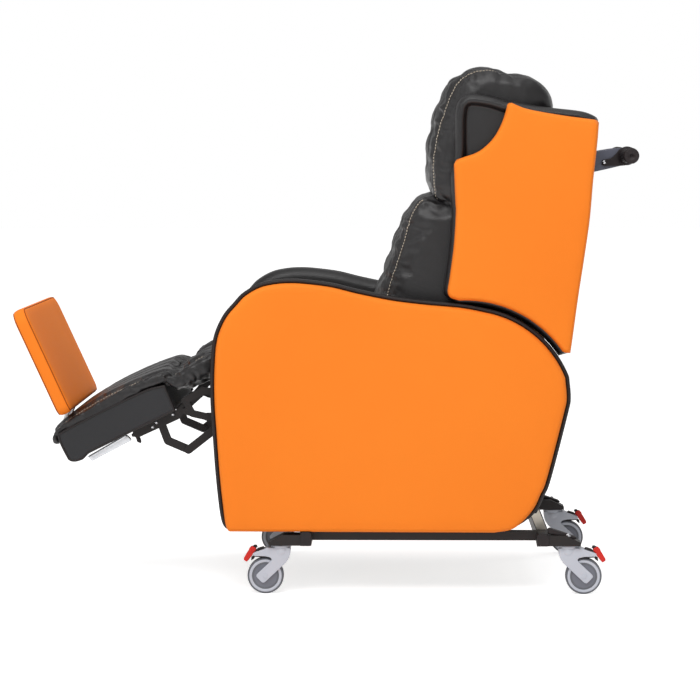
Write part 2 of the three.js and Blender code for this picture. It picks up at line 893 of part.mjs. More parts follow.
const wingRearShares = [
  [0.818, 0.004], [0.831, 0.058], [0.87, 0.234], [0.906, 0.378], [0.942, 0.536], [0.964, 0.694],
  [0.99, 0.842], [1, 0.924],
];
const wingTopShares = [[0.92, 0.932], [0.747, 0.951], [0.529, 0.975], [0.403, 1]];
const wingScoopShares = [
  [0.38, 0.959], [0.347, 0.906], [0.292, 0.852], [0.205, 0.807], [0.114, 0.786], [0.045, 0.77],
];
const wingFrontShares = [
  [0.042, 0.725], [0.052, 0.604], [0.055, 0.563], [0.042, 0.433], [0.013, 0.3], [0, 0.246],
];
const earShares = [
  [0.39, 1.014], [0.24, 1.031], [0.155, 1.035], [0.09, 1.019], [0.055, 0.984], [0.022, 0.928],
  [0.015, 0.846], [0.012, 0.78],
];

function wingPath(frontOffset, topOffset, upper) {
  const at = (shares, shiftY, shiftZ) =>
    placed(shares, wingFront + shiftY, wingFoot + shiftZ, wingDepth, wingHeight);
  const front = at(wingFrontShares, -frontOffset, 0);
  const rear = at(wingRearShares, 0, 0);
  const path = new THREE.Path();
  path.moveTo(rear[0].x, rear[0].y);
  path.splineThru(rear.slice(1));
  path.splineThru(at(wingTopShares, 0, topOffset));
  for (const shares of upper) path.splineThru(at(shares, -frontOffset, 0));
  path.splineThru(front);
  const [start, stop] = [96 * degrees, wingFootAngle * degrees];
  path.absarc(reclinePivotPlace, reclinePivotHeight, wingArcRadius, start, stop, true);
  return openLoop(path.getPoints(1));
}

const wingPanelPoints = wingPath(0, 0, [wingScoopShares]);
const wingPadPoints = wingPath(pipingBand, pipingBand, [earShares]);
const wingOuter = halfWidth - wingOuterInset;
const wingInner = wingOuter - wingThickness;
for (const side of sides) {
  const padThickness = wingThickness - wingPanelThickness - fitGap;
  const padMiddle = side.sign * (wingInner + padThickness / 2);
  const panelMiddle = side.sign * (wingOuter - wingPanelThickness / 2);
  add("wing_inner_" + side.name, sidePiece(wingPadPoints, padMiddle, padThickness, panelBevel), "black");
  add(
    "wing_panel_" + side.name,
    sidePiece(wingPanelPoints, panelMiddle, wingPanelThickness, panelBevel),
    "orange"
  );
}

const shellHalf = wingInner - fitGap;
const rearEdge = placed(wingRearShares, wingFront, wingFoot, wingDepth, wingHeight);
const shellOuter = rearEdge.map((spot) => point(spot.x - fitGap, spot.y + fitGap));
const shellTopShares = [[0.97, 0.975], [0.75, 0.995]];
const shellTop = placed(shellTopShares, wingFront, wingFoot, wingDepth, wingHeight);
{
  const inner = rearEdge.map((spot) => point(spot.x - shellThickness, spot.y)).reverse();
  const lid = shellTop.map((spot) => point(spot.x, spot.y - shellThickness)).reverse();
  add(
    "back_shell",
    sidePiece([...shellOuter, ...shellTop, ...lid, ...inner.slice(1)], 0, 2 * shellHalf),
    "black"
  );
}

// The front face of the back's board at a height, and the shell's outer face at one.
function boardFace(z) {
  const run = (z - frameFootHeight) / (frameHeadHeight - frameFootHeight);
  return frameFootPlace + run * (frameHeadPlace - frameFootPlace);
}

function shellFace(z) {
  const upper = shellOuter.findIndex((spot) => spot.y > z);
  const [below, above] = [shellOuter[upper - 1], shellOuter[upper]];
  return below.x + ((z - below.y) / (above.y - below.y)) * (above.x - below.x);
}

const frameRibShares = [[0.06, 0.812], [0.74, 0.955]];
{
  const board = sidePiece(
    [
      point(frameFootPlace, frameFootHeight),
      point(frameFootPlace + frameThickness, frameFootHeight),
      point(frameHeadPlace + frameThickness, frameHeadHeight),
      point(frameHeadPlace, frameHeadHeight),
    ],
    0,
    2 * shellHalf
  );
  const plates = sides.map((side) => {
    const middle = side.sign * (halfWidth - hingePlateInset);
    const points = [
      point(reclinePivotPlace - hingeEyeRadius, reclinePivotHeight),
      point(reclinePivotPlace - hingeEyeRadius * 0.5, reclinePivotHeight - hingeEyeRadius * 0.85),
      point(reclinePivotPlace + hingeEyeRadius * 0.5, reclinePivotHeight - hingeEyeRadius * 0.85),
      point(reclinePivotPlace + hingeEyeRadius, reclinePivotHeight),
      point(frameFootPlace + frameThickness, frameFootHeight),
      point(frameFootPlace + frameThickness * 1.5, frameFootHeight + 2 * hingeEyeRadius),
      point(frameFootPlace, frameFootHeight + hingeEyeRadius),
    ];
    return sidePiece(points, middle, hingePlateThickness);
  });
  const bore = barAcross(
    0,
    reclinePivotPlace,
    reclinePivotHeight,
    reclineShaftRadius + pivotClearance,
    overallWidth
  );
  const ribs = frameRibShares.map(([heightShare, rearShare]) => {
    const z = wingFoot + heightShare * wingHeight;
    const front = boardFace(z) + frameThickness / 2;
    const rear = wingFront + wingDepth * rearShare - shellThickness - fitGap;
    return block(0, (front + rear) / 2, z, shellHalf, rear - front, frameThickness);
  });
  add("back_frame", cut(join(board, ...plates, ...ribs), bore), "wood");
}

// Places against the board's face, at shares of a cushion's height above its foot.
function onBoard(shares, foot, height) {
  return shares.map((share) => point(boardFace(foot + share * height) - fitGap, foot + share * height));
}

const backFrontShares = [
  [0.05, 0], [0.02, 0.1], [0.0, 0.23], [0.02, 0.35], [0.045, 0.4], [0.08, 0.45], [0.1, 0.52],
  [0.15, 0.6], [0.17, 0.67], [0.225, 0.76], [0.28, 0.85], [0.33, 0.93], [0.4, 1],
];
const backSeatShares = [0, 0.33, 0.66, 1];
const backChannelShares = [0.36, 0.5, 0.64, 0.79];
add(
  "back_cushion",
  stuffed({
    rear: curveThrough(onBoard(backSeatShares, backCushionFoot, backCushionHeight)),
    front: curveThrough(
      placed(backFrontShares, backCushionFront, backCushionFoot, backCushionDepth, backCushionHeight)
    ),
    halfWidth: wingInner - cushionGap,
    cells: [12, 22, 3],
    rimShare: 0.86,
    endShare: 0.9,
    drawIn: backCushionDrawIn,
    channels: backChannelShares,
    depth: channelDepth,
  }),
  "black"
);

const headFrontShares = [
  [0.03, 0.012], [0.01, 0.07], [0, 0.2], [0.008, 0.33], [0.03, 0.455], [0.067, 0.61],
  [0.107, 0.74], [0.145, 0.847], [0.193, 0.91], [0.28, 0.965], [0.42, 1], [0.51, 0.985],
];
const headSeatShares = [0.012, 0.1, 0.19, 0.28];
const headRearShares = [
  [0.79, 0.42], [0.9, 0.56], [0.985, 0.665], [0.96, 0.8], [0.83, 0.905], [0.73, 0.94],
];
const onHead = (shares) =>
  placed(shares, headCushionFront, headCushionFoot, headCushionDepth, headCushionHeight);
add(
  "head_cushion",
  stuffed({
    rear: curveThrough([
      ...onBoard(headSeatShares, headCushionFoot, headCushionHeight),
      ...onHead(headRearShares),
    ]),
    front: curveThrough(onHead(headFrontShares)),
    halfWidth: wingInner - cushionGap,
    cells: [12, 18, 3],
    rimShare: 0.84,
    endShare: 0.9,
    drawIn: backCushionDrawIn,
  }),
  "black"
);

// Push handle behind the back

for (const side of sides) {
  const middle = (side.sign * handlePlateSpacing) / 2;
  const plateFoot = handleHeight - handlePlateHeight * 0.7;
  const plateHead = handleHeight + handlePlateHeight * 0.2;
  const plate = sidePiece(
    [
      point(shellFace(plateFoot) + fitGap, plateFoot),
      point(handlePlace + handleRadius * 0.7, handleHeight - gripRadius),
      point(handlePlace + handleRadius * 1.4, handleHeight),
      point(handlePlace, handleHeight + gripRadius),
      point(shellFace(plateHead) + fitGap, plateHead),
    ],
    middle,
    handlePlateThickness
  );
  const bore = barAcross(
    middle,
    handlePlace,
    handleHeight,
    handleRadius + fitGap,
    handlePlateThickness + cutOverrun
  );
  add("handle_bracket_" + side.name, cut(plate, bore), "silver");
}
const handleBar = barAcross(0, handlePlace, handleHeight, handleRadius, handleSpan, 24);
add("push_handle_bar", handleBar, "silver");
for (const side of sides) {
  const middle = side.sign * (handleSpan / 2 - gripLength / 2 + handleRadius / 2);
  const grip = barAcross(middle, handlePlace, handleHeight, gripRadius, gripLength, 24);
  const bore = barAcross(
    middle - (side.sign * handleRadius) / 2,
    handlePlace,
    handleHeight,
    handleRadius + gripClearance,
    gripLength,
    24
  );
  add("handle_grip_" + side.name, cut(grip, bore), "black");
}

// Legrest: worked out along its own slope from the leg pivot

const slope = legrestSlopeDegrees * degrees;
const along = point(-Math.cos(slope), -Math.sin(slope));
const upward = point(-Math.sin(slope), Math.cos(slope));

// A place on the legrest: a distance out along it and a height above its top face.
function onLegrest(out, up) {
  const reach = legrestRearOffset + out;
  const rise = legrestTopOffset + up;
  return point(
    legPivotPlace + along.x * reach + upward.x * rise,
    legPivotHeight + along.y * reach + upward.y * rise
  );
}

const legrestShares = [
  [0, 0], [0.93, 0], [0.98, -0.1], [1, -0.32], [1, -0.62], [0.975, -0.86], [0.93, -1], [0, -1],
];
const legrestPoints = legrestShares.map(([out, down]) =>
  onLegrest(out * legrestLength, down * legrestThickness)
);
{
  const casing = sidePiece(legrestPoints, 0, legrestWidth, panelBevel);
  add("legrest_casing", toGeometry(toSolid(casing)), "black");
}

const railPivot = point(legPivotPlace + linkRun, legPivotHeight + linkDrop);
const knee = point(lowerPivotPlace + linkRun, lowerPivotHeight + linkDrop);
const lowerPivot = point(lowerPivotPlace, lowerPivotHeight);
const legPivot = point(legPivotPlace, legPivotHeight);

const hangerRootShares = [-0.17, 0.15];
const hangerSeatShare = 0.5 + fitGap / linkRailDepth;
const hangerStripShares = [
  [hangerRootShares, [0.06, hangerSeatShare + 0.1], 0.8],
  [[0.06, hangerSeatShare], [1, hangerSeatShare], 1],
];
for (const side of sides) {
  const first = side.sign * firstLinkMiddle;
  const second = side.sign * secondLinkMiddle;
  const bore = (x, spot) => barAcross(x, spot.x, spot.y, linkBore, linkThickness + cutOverrun);
  const pin = (x, spot) => barAcross(x, spot.x, spot.y, linkPinRadius, 2 * linkThickness);

  const straps = hangerStripShares.map(([from, to, width]) => {
    const ends = [from, to].map(([out, down]) =>
      onLegrest(out * linkRailLength, -legrestThickness - down * linkRailDepth)
    );
    return sidePiece(linkPoints(...ends, width * linkRailDepth), first, linkThickness);
  });
  const root = sidePiece(
    linkPoints(
      legPivot,
      onLegrest(
        hangerRootShares[0] * linkRailLength,
        -legrestThickness - hangerRootShares[1] * linkRailDepth
      ),
      linkWidth
    ),
    first,
    linkThickness
  );
  const hanger = join(root, ...straps);
  const railPin = pin(first - (side.sign * linkThickness) / 2, railPivot);
  add("legrest_hanger_" + side.name, join(cut(hanger, bore(first, legPivot)), railPin), "steel");

  const lower = sidePiece(linkPoints(lowerPivot, knee, linkWidth), first, linkThickness);
  const kneePin = pin(first - (side.sign * linkThickness) / 2, knee);
  add("lower_link_" + side.name, join(cut(lower, bore(first, lowerPivot)), kneePin), "steel");

  const middle = railPivot.clone().lerp(knee, linkElbowShare);
  const elbow = point(middle.x - linkElbow * 0.7, middle.y - linkElbow * 0.7);
  const frontLink = join(
    sidePiece(linkPoints(railPivot, elbow, linkWidth), second, linkThickness),
    sidePiece(linkPoints(elbow, knee, linkWidth), second, linkThickness)
  );
  add(
    "front_link_" + side.name,
    cut(frontLink, bore(second, railPivot), bore(second, knee)),
    "steel"
  );
}

// Legrest pad, crowned along and across, and the flap that closes the gap at the knee

const padUnderShares = [[-0.02, 0], [0.3, 0], [0.7, 0], [0.985, 0]];
const padTopShares = [
  [-0.03, 0.95], [0.1, 1.1], [0.3, 1.1], [0.5, 1], [0.7, 0.78], [0.87, 0.48], [0.99, 0.26],
];
const onPad = ([out, up]) => onLegrest(out * legrestLength, up * legrestPadHeight + fitGap);
add(
  "legrest_pad",
  stuffed({
    rear: curveThrough(padUnderShares.map(onPad)),
    front: curveThrough(padTopShares.map(onPad)),
    halfWidth: legrestWidth / 2,
    cells: [10, 12, 2],
    rimShare: 0.5,
    endShare: 0.6,
    drawIn: legrestPadDrawIn,
  }),
  "black"
);

const flapSeatShares = [0.36, 1];
const flapUnderShares = [[-0.25, -0.12], [-0.45, -0.17], [-0.58, -0.15]];
const flapTopShares = [[-0.08, 0.76], [-0.26, 0.84], [-0.5, 0.69], [-0.64, 0.49]];
const onFlap = (shares) => placed(shares, legPivotPlace, legPivotHeight, flapHeight, flapHeight);
const [cushionToe] = onSeat([seatUnderShares[0]]);
const [cushionNose] = onSeat([seatTopShares[0]]);
const [flapFoot, flapHead] = flapSeatShares.map((share) =>
  cushionToe.clone().lerp(cushionNose, share).add(point(-fitGap, 0))
);
add(
  "knee_flap",
  stuffed({
    rear: curveThrough([flapFoot, ...onFlap(flapUnderShares)]),
    front: curveThrough([flapHead, ...onFlap(flapTopShares)]),
    halfWidth: halfWidth - flapInset,
    cells: [8, 6, 2],
    rimShare: 0.8,
    endShare: 0.6,
    drawIn: legrestPadDrawIn / 2,
  }),
  "black"
);

// Footplate: a padded board on a hinge tube, carried by two flat arms that slide under the legrest

const hingeSpot = onLegrest(footHingeReach, footHingeRise);
{
  const arms = sides.map((side) => {
    const x = (side.sign * footArmSpacing) / 2;
    const under = -legrestThickness - footArmGap;
    const out = legrestLength + footArmGap;
    const thick = footArmThickness;
    const points = [
      onLegrest(legrestLength - footArmLength, under),
      onLegrest(out, under),
      onLegrest(out, 2 * thick),
      onLegrest(footHingeReach - thick, footHingeRise - thick / 2),
      onLegrest(footHingeReach, footHingeRise + footHingeRadius),
      onLegrest(footHingeReach + footHingeRadius, footHingeRise + thick / 2),
      onLegrest(out + thick, 2.5 * thick),
      onLegrest(out + thick, under - thick),
      onLegrest(legrestLength - footArmLength, under - thick),
    ];
    return sidePiece(points, x, footArmWidth);
  });
  const tube = barAcross(0, hingeSpot.x, hingeSpot.y, footHingeRadius, footplateWidth * 0.94, 20);
  add("footplate_arms", join(...arms, tube), "silver");

  const rearFace = footHingeReach + footHingeInset;
  const nearFace = rearFace - footplateThickness;
  const foot = footHingeRise - footplateTail;
  const rearRun = [0, 0.33, 0.66, 1].map((share) => onLegrest(rearFace, foot + share * footplateLength));
  const nearRun = [0, 0.33, 0.66, 1].map((share) => onLegrest(nearFace, foot + share * footplateLength));
  const board = stuffed({
    rear: curveThrough(rearRun),
    front: curveThrough(nearRun),
    halfWidth: footplateWidth / 2,
    cells: [10, 8, 2],
    rimShare: 0.8,
    endShare: 0.7,
    drawIn: footplateFaceDrawIn,
  });
  const bore = barAcross(
    0,
    hingeSpot.x,
    hingeSpot.y,
    footHingeRadius + footHingeClearance,
    footplateWidth + cutOverrun
  );
  const notches = sides.map((side) => {
    const middle = onLegrest(footHingeReach, footHingeRise - footArmWidth / 2);
    return block(
      0,
      0,
      0,
      footArmWidth + 2 * footNotchClearance,
      footplateThickness * 3,
      footArmWidth * 2
    )
      .rotateX(slope)
      .translate((side.sign * footArmSpacing) / 2, middle.x, middle.y);
  });
  add("footplate", cut(board, bore, ...notches), "orange");
}

// The whole stands on the floor with its middle over the origin

const extent = new THREE.Box3().setFromObject(recliner, true);
recliner.position.set(
  -(extent.min.x + extent.max.x) / 2,
  -(extent.min.y + extent.max.y) / 2,
  -extent.min.z
);

export default recliner;
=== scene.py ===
# %% [markdown]
# A mobile wing-back recliner, dressed for its portrait.
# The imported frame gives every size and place, so each cell starts from a box of the frame and adds
# what a workshop would add: foam, covers, seams, thread, paint and screws. Metres, +Z up, the
# sitter faces -Y, and +X is the sitter's left.

import json
import math

import bmesh
import bpy
import numpy as np
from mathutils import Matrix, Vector
from mathutils.bvhtree import BVHTree
from mathutils.geometry import delaunay_2d_cdt


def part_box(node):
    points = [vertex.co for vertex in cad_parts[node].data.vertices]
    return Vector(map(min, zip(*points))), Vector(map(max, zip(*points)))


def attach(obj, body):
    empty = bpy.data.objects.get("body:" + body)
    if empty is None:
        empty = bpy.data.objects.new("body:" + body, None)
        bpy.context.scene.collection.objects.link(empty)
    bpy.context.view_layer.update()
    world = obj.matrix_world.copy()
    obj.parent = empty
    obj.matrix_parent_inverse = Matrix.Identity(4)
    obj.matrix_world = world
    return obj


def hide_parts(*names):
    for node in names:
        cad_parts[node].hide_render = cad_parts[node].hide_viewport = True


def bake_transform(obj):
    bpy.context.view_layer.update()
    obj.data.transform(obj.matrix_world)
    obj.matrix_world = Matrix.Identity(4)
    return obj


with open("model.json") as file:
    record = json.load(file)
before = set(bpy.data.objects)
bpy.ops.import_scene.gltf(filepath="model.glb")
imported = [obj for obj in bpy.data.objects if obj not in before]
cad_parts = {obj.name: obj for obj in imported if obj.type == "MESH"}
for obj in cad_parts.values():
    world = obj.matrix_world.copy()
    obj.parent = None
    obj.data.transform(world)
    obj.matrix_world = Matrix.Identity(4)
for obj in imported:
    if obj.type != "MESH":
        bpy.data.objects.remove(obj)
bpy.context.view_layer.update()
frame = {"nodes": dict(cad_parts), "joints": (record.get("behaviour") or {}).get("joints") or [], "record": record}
mm = 0.001
sides = {"left": 1, "right": -1}
ends = {"front": -1, "rear": 1}

# %% [markdown]
# The camera stands level with the back's middle, far off to the sitter's left, so that the near arm
# hides nearly all of the far one. A long lens does that. The two castors on each side give the
# distance, and the far arm's edge above the near one gives the height and the slight turn.

# %% Camera
scene = bpy.context.scene
scene.view_settings.view_transform = "Standard"
camera_place = Vector((6.474, 0.150165, 0.901))
yaw, pitch = math.radians(0.931), math.radians(3.708)
focal_px, frame_px, sensor = 3009, 700, 36
lens = bpy.data.cameras.new("portrait_lens")
lens.sensor_width = sensor
lens.lens = focal_px / frame_px * sensor
camera = bpy.data.objects.new("portrait_camera", lens)
camera.location = camera_place
aim = Vector((-math.cos(pitch) * math.cos(yaw), -math.cos(pitch) * math.sin(yaw), -math.sin(pitch)))
camera.rotation_euler = aim.to_track_quat("-Z", "Y").to_euler()
scene.collection.objects.link(camera)
scene.camera = camera
print("lens", round(lens.lens, 1), "mm")

# %% [markdown]
# The studio is a white floor in a white room. Large soft lamps stand on the camera's side and
# above, so that the orange panels come out even, and a weaker one behind draws an edge on black.
# Rays that come straight from the camera see plain white, and the floor keeps a faint shadow.

# %% Floor, room and lamps
floor_mesh = bpy.data.meshes.new("studio_floor")
floor_reach = 30
floor_mesh.from_pydata(
    [(-floor_reach, -floor_reach, 0), (floor_reach, -floor_reach, 0),
     (floor_reach, floor_reach, 0), (-floor_reach, floor_reach, 0)], [], [(0, 1, 2, 3)])
floor = bpy.data.objects.new("studio_floor", floor_mesh)
scene.collection.objects.link(floor)

floor_paint = bpy.data.materials.new("studio_white")
floor_paint.use_nodes = True
tree = floor_paint.node_tree
surface = tree.nodes["Principled BSDF"]
surface.inputs["Base Color"].default_value = (0.9, 0.9, 0.9, 1)
surface.inputs["Roughness"].default_value = 0.9
glow = tree.nodes.new("ShaderNodeEmission")
glow.inputs["Strength"].default_value = 0.66
ray = tree.nodes.new("ShaderNodeLightPath")
seen = tree.nodes.new("ShaderNodeMath")
seen.operation = "MAXIMUM"
glow_mix = tree.nodes.new("ShaderNodeMixShader")
lit = tree.nodes.new("ShaderNodeAddShader")
tree.links.new(ray.outputs["Is Camera Ray"], seen.inputs[0])
tree.links.new(ray.outputs["Is Glossy Ray"], seen.inputs[1])
tree.links.new(surface.outputs[0], lit.inputs[0])
tree.links.new(glow.outputs[0], lit.inputs[1])
tree.links.new(seen.outputs[0], glow_mix.inputs[0])
tree.links.new(surface.outputs[0], glow_mix.inputs[1])
tree.links.new(lit.outputs[0], glow_mix.inputs[2])
tree.links.new(glow_mix.outputs[0], tree.nodes["Material Output"].inputs["Surface"])
floor_mesh.materials.append(floor_paint)

room = bpy.data.worlds.new("studio_room")
scene.world = room
room.use_nodes = True
tree = room.node_tree
dim = tree.nodes["Background"]
dim.inputs["Color"].default_value = (1, 1, 1, 1)
dim.inputs["Strength"].default_value = 0.5
bright = tree.nodes.new("ShaderNodeBackground")
bright.inputs["Color"].default_value = (1, 1, 1, 1)
bright.inputs["Strength"].default_value = 1.0
ray = tree.nodes.new("ShaderNodeLightPath")
room_mix = tree.nodes.new("ShaderNodeMixShader")
tree.links.new(ray.outputs["Is Camera Ray"], room_mix.inputs[0])
tree.links.new(dim.outputs[0], room_mix.inputs[1])
tree.links.new(bright.outputs[0], room_mix.inputs[2])
tree.links.new(room_mix.outputs[0], tree.nodes["World Output"].inputs["Surface"])


def lamp(name, place, target, width, power):
    light = bpy.data.lights.new(name, "AREA")
    light.shape = "SQUARE"
    light.size = width
    light.energy = power
    holder = bpy.data.objects.new(name, light)
    holder.location = place
    holder.rotation_euler = (Vector(target) - Vector(place)).to_track_quat("-Z", "Y").to_euler()
    scene.collection.objects.link(holder)


chair_middle = (0, 0.1, 0.5)
lamp("side_lamp", (3.2, -0.4, 3.6), chair_middle, 2.2, 98)
lamp("front_lamp", (1.4, -4.2, 2.6), chair_middle, 2.0, 27)
lamp("top_lamp", (0.4, 0.3, 3.6), chair_middle, 2.4, 21)
lamp("rear_lamp", (-2.6, 3.4, 2.0), chair_middle, 1.8, 18)
print("lamps set")

# %% [markdown]
# Finishes. The covers are a coated fabric with a fine pebble grain, the frame is powder-coated
# steel, and the castors are moulded nylon. Three effects are shared: a pebble grain, a slow drift
# of tone as cloth and paint have, and streaks of brushed metal. Each is a node group, built once.

# %% Shared effects as node groups
def effect(name, inputs, outputs):
    """An empty shader group with named sockets."""
    group = bpy.data.node_groups.new(name, "ShaderNodeTree")
    for label, kind, value in inputs:
        made = group.interface.new_socket(label, in_out="INPUT", socket_type=kind)
        made.default_value = value
    for label, kind in outputs:
        group.interface.new_socket(label, in_out="OUTPUT", socket_type=kind)
    entry = group.nodes.new("NodeGroupInput")
    leave = group.nodes.new("NodeGroupOutput")
    return group, entry, leave


def node(tree, kind, **settings):
    made = tree.nodes.new(kind)
    for label, value in settings.items():
        if label in made.inputs:
            made.inputs[label].default_value = value
        else:
            setattr(made, label, value)
    return made


number, colour = "NodeSocketFloat", "NodeSocketColor"

# Pebble grain: cells of two sizes, their borders low.
pebble, entry, leave = effect(
    "pebble_grain", [("Scale", number, 700), ("Creases", number, 0.35)],
    [("Height", number), ("Pores", number)])
at = node(pebble, "ShaderNodeTexCoord")
cells = node(pebble, "ShaderNodeTexVoronoi", feature="DISTANCE_TO_EDGE")
slack = node(pebble, "ShaderNodeTexNoise", Scale=26.0, Detail=5.0, Roughness=0.6)
rounded = node(pebble, "ShaderNodeMapRange", interpolation_type="SMOOTHSTEP")
rounded.inputs["From Max"].default_value = 0.22
folds = node(pebble, "ShaderNodeMath", operation="MULTIPLY_ADD")
pebble.links.new(at.outputs["Object"], cells.inputs["Vector"])
pebble.links.new(at.outputs["Object"], slack.inputs["Vector"])
pebble.links.new(entry.outputs["Scale"], cells.inputs["Scale"])
pebble.links.new(cells.outputs["Distance"], rounded.inputs["Value"])
pebble.links.new(slack.outputs["Fac"], folds.inputs[0])
pebble.links.new(entry.outputs["Creases"], folds.inputs[1])
pebble.links.new(rounded.outputs["Result"], folds.inputs[2])
pebble.links.new(folds.outputs[0], leave.inputs["Height"])
pebble.links.new(rounded.outputs["Result"], leave.inputs["Pores"])

# Tone drift: two colours mixed by a slow noise, and a mask of small specks.
drift, entry, leave = effect(
    "tone_drift",
    [("Colour", colour, (1, 1, 1, 1)), ("Other", colour, (0.8, 0.8, 0.8, 1)),
     ("Scale", number, 3), ("Specks", number, 400)],
    [("Colour", colour), ("Speck", number)])
at = node(drift, "ShaderNodeTexCoord")
slow = node(drift, "ShaderNodeTexNoise", Detail=3.0)
fine = node(drift, "ShaderNodeTexNoise", Detail=2.0)
spread = node(drift, "ShaderNodeMapRange")
spread.inputs["From Min"].default_value = 0.3
spread.inputs["From Max"].default_value = 0.7
blend_tone = node(drift, "ShaderNodeMix", data_type="RGBA")
drift.links.new(at.outputs["Object"], slow.inputs["Vector"])
drift.links.new(at.outputs["Object"], fine.inputs["Vector"])
drift.links.new(entry.outputs["Scale"], slow.inputs["Scale"])
drift.links.new(entry.outputs["Specks"], fine.inputs["Scale"])
drift.links.new(slow.outputs["Fac"], spread.inputs["Value"])
drift.links.new(spread.outputs["Result"], blend_tone.inputs["Factor"])
drift.links.new(entry.outputs["Colour"], blend_tone.inputs["A"])
drift.links.new(entry.outputs["Other"], blend_tone.inputs["B"])
drift.links.new(blend_tone.outputs["Result"], leave.inputs["Colour"])
drift.links.new(fine.outputs["Fac"], leave.inputs["Speck"])

# Brushed streaks: noise drawn out along X, which the bars and shafts follow.
streaks, entry, leave = effect(
    "brushed_streaks", [("Scale", number, 60)], [("Height", number), ("Dull", number)])
at = node(streaks, "ShaderNodeTexCoord")
draw_out = node(streaks, "ShaderNodeMapping")
draw_out.inputs["Scale"].default_value = (0.06, 3.0, 3.0)
grind = node(streaks, "ShaderNodeTexNoise", Detail=4.0)
streaks.links.new(at.outputs["Object"], draw_out.inputs["Vector"])
streaks.links.new(draw_out.outputs["Vector"], grind.inputs["Vector"])
streaks.links.new(entry.outputs["Scale"], grind.inputs["Scale"])
streaks.links.new(grind.outputs["Fac"], leave.inputs["Height"])
streaks.links.new(grind.outputs["Fac"], leave.inputs["Dull"])
print("groups:", [group.name for group in bpy.data.node_groups])


# %% Material makers
def linear(red, green, blue):
    """A colour as seen on a screen, 0 to 255, as Blender's linear one."""
    tones = [part / 255 for part in (red, green, blue)]
    return (*[tone / 12.92 if tone <= 0.04045 else ((tone + 0.055) / 1.055) ** 2.4 for tone in tones], 1)


def base(name, roughness, metallic=0.0, coat=0.0, specular=0.5):
    made = bpy.data.materials.new(name)
    made.use_nodes = True
    tree = made.node_tree
    skin = tree.nodes["Principled BSDF"]
    skin.inputs["Roughness"].default_value = roughness
    skin.inputs["Metallic"].default_value = metallic
    skin.inputs["Coat Weight"].default_value = coat
    skin.inputs["Specular IOR Level"].default_value = specular
    return made, tree, skin


def place_group(tree, group, **values):
    made = tree.nodes.new("ShaderNodeGroup")
    made.node_tree = group
    for label, value in values.items():
        made.inputs[label].default_value = value
    return made


def bumped(tree, skin, height, strength, distance):
    bump = node(tree, "ShaderNodeBump", Strength=strength, Distance=distance)
    tree.links.new(height, bump.inputs["Height"])
    tree.links.new(bump.outputs["Normal"], skin.inputs["Normal"])


def varied_roughness(tree, skin, mask, low, high):
    spread = node(tree, "ShaderNodeMapRange")
    spread.inputs["From Min"].default_value = 0.3
    spread.inputs["From Max"].default_value = 0.7
    spread.inputs["To Min"].default_value = low
    spread.inputs["To Max"].default_value = high
    tree.links.new(mask, spread.inputs["Value"])
    tree.links.new(spread.outputs["Result"], skin.inputs["Roughness"])


def cover(name, tone, other, low, high, grain=700, creases=0.3, specular=0.5):
    """Coated upholstery fabric."""
    made, tree, skin = base(name, low, specular=specular)
    tint = place_group(tree, drift, Colour=tone, Other=other, Scale=2.2, Specks=900)
    skin_grain = place_group(tree, pebble, Scale=grain, Creases=creases)
    tree.links.new(tint.outputs["Colour"], skin.inputs["Base Color"])
    varied_roughness(tree, skin, tint.outputs["Speck"], low, high)
    bumped(tree, skin, skin_grain.outputs["Height"], 0.22, 0.0006)
    return made


def moulded(name, tone, other, low, high, specular=0.5):
    """Moulded plastic, rubber or powder coat, with a fine spark grain."""
    made, tree, skin = base(name, low, specular=specular)
    tint = place_group(tree, drift, Colour=tone, Other=other, Scale=9, Specks=1500)
    tree.links.new(tint.outputs["Colour"], skin.inputs["Base Color"])
    varied_roughness(tree, skin, tint.outputs["Speck"], low, high)
    bumped(tree, skin, tint.outputs["Speck"], 0.12, 0.0004)
    return made


def bright_metal(name, tone, other, low, high):
    made, tree, skin = base(name, low, metallic=1.0)
    tint = place_group(tree, drift, Colour=tone, Other=other, Scale=14, Specks=700)
    lines = place_group(tree, streaks, Scale=90)
    tree.links.new(tint.outputs["Colour"], skin.inputs["Base Color"])
    varied_roughness(tree, skin, lines.outputs["Dull"], low, high)
    bumped(tree, skin, lines.outputs["Height"], 0.08, 0.0003)
    return made


orange_cover = cover("orange_cover", linear(250, 136, 44), linear(246, 130, 41), 0.5, 0.6, 620, 0.15, 0.06)
black_cover = cover("black_cover", linear(26, 24, 25), linear(21, 19, 20), 0.32, 0.42, 560, 0.5, 0.46)
casing_cover = cover("casing_cover", linear(44, 44, 46), linear(38, 38, 40), 0.46, 0.56, 620, 0.3, 0.3)
piping_cover = cover("piping_cover", linear(32, 26, 26), linear(27, 22, 22), 0.42, 0.52, 900, 0.3, 0.3)
# The footplate's seam cords are a darker orange: painted shade standing for the creases of its seams.
seam_shade = moulded("orange_seam", linear(150, 66, 20), linear(132, 56, 18), 0.6, 0.75, 0.1)
thread = moulded("light_thread", linear(196, 184, 168), linear(176, 164, 148), 0.6, 0.75, 0.2)
frame_paint = moulded("frame_powder_coat", linear(32, 26, 25), linear(26, 21, 20), 0.42, 0.55, 0.32)
handle_paint = moulded("handle_paint", linear(96, 98, 112), linear(80, 82, 96), 0.32, 0.42)
grip_rubber = moulded("grip_rubber", linear(38, 31, 32), linear(31, 26, 27), 0.5, 0.62, 0.3)
castor_nylon = moulded("castor_nylon", linear(200, 203, 212), linear(188, 191, 201), 0.34, 0.44)
hub_nylon = moulded("hub_nylon", linear(118, 120, 130), linear(102, 104, 114), 0.3, 0.42)
tyre_rubber = moulded("tyre_rubber", linear(112, 114, 120), linear(98, 100, 106), 0.55, 0.68, 0.3)
pedal_nylon = moulded("pedal_nylon", linear(216, 44, 34), linear(200, 38, 30), 0.34, 0.44, 0.3)
plain_wood = moulded("raw_plywood", linear(186, 148, 100), linear(168, 130, 86), 0.6, 0.75)
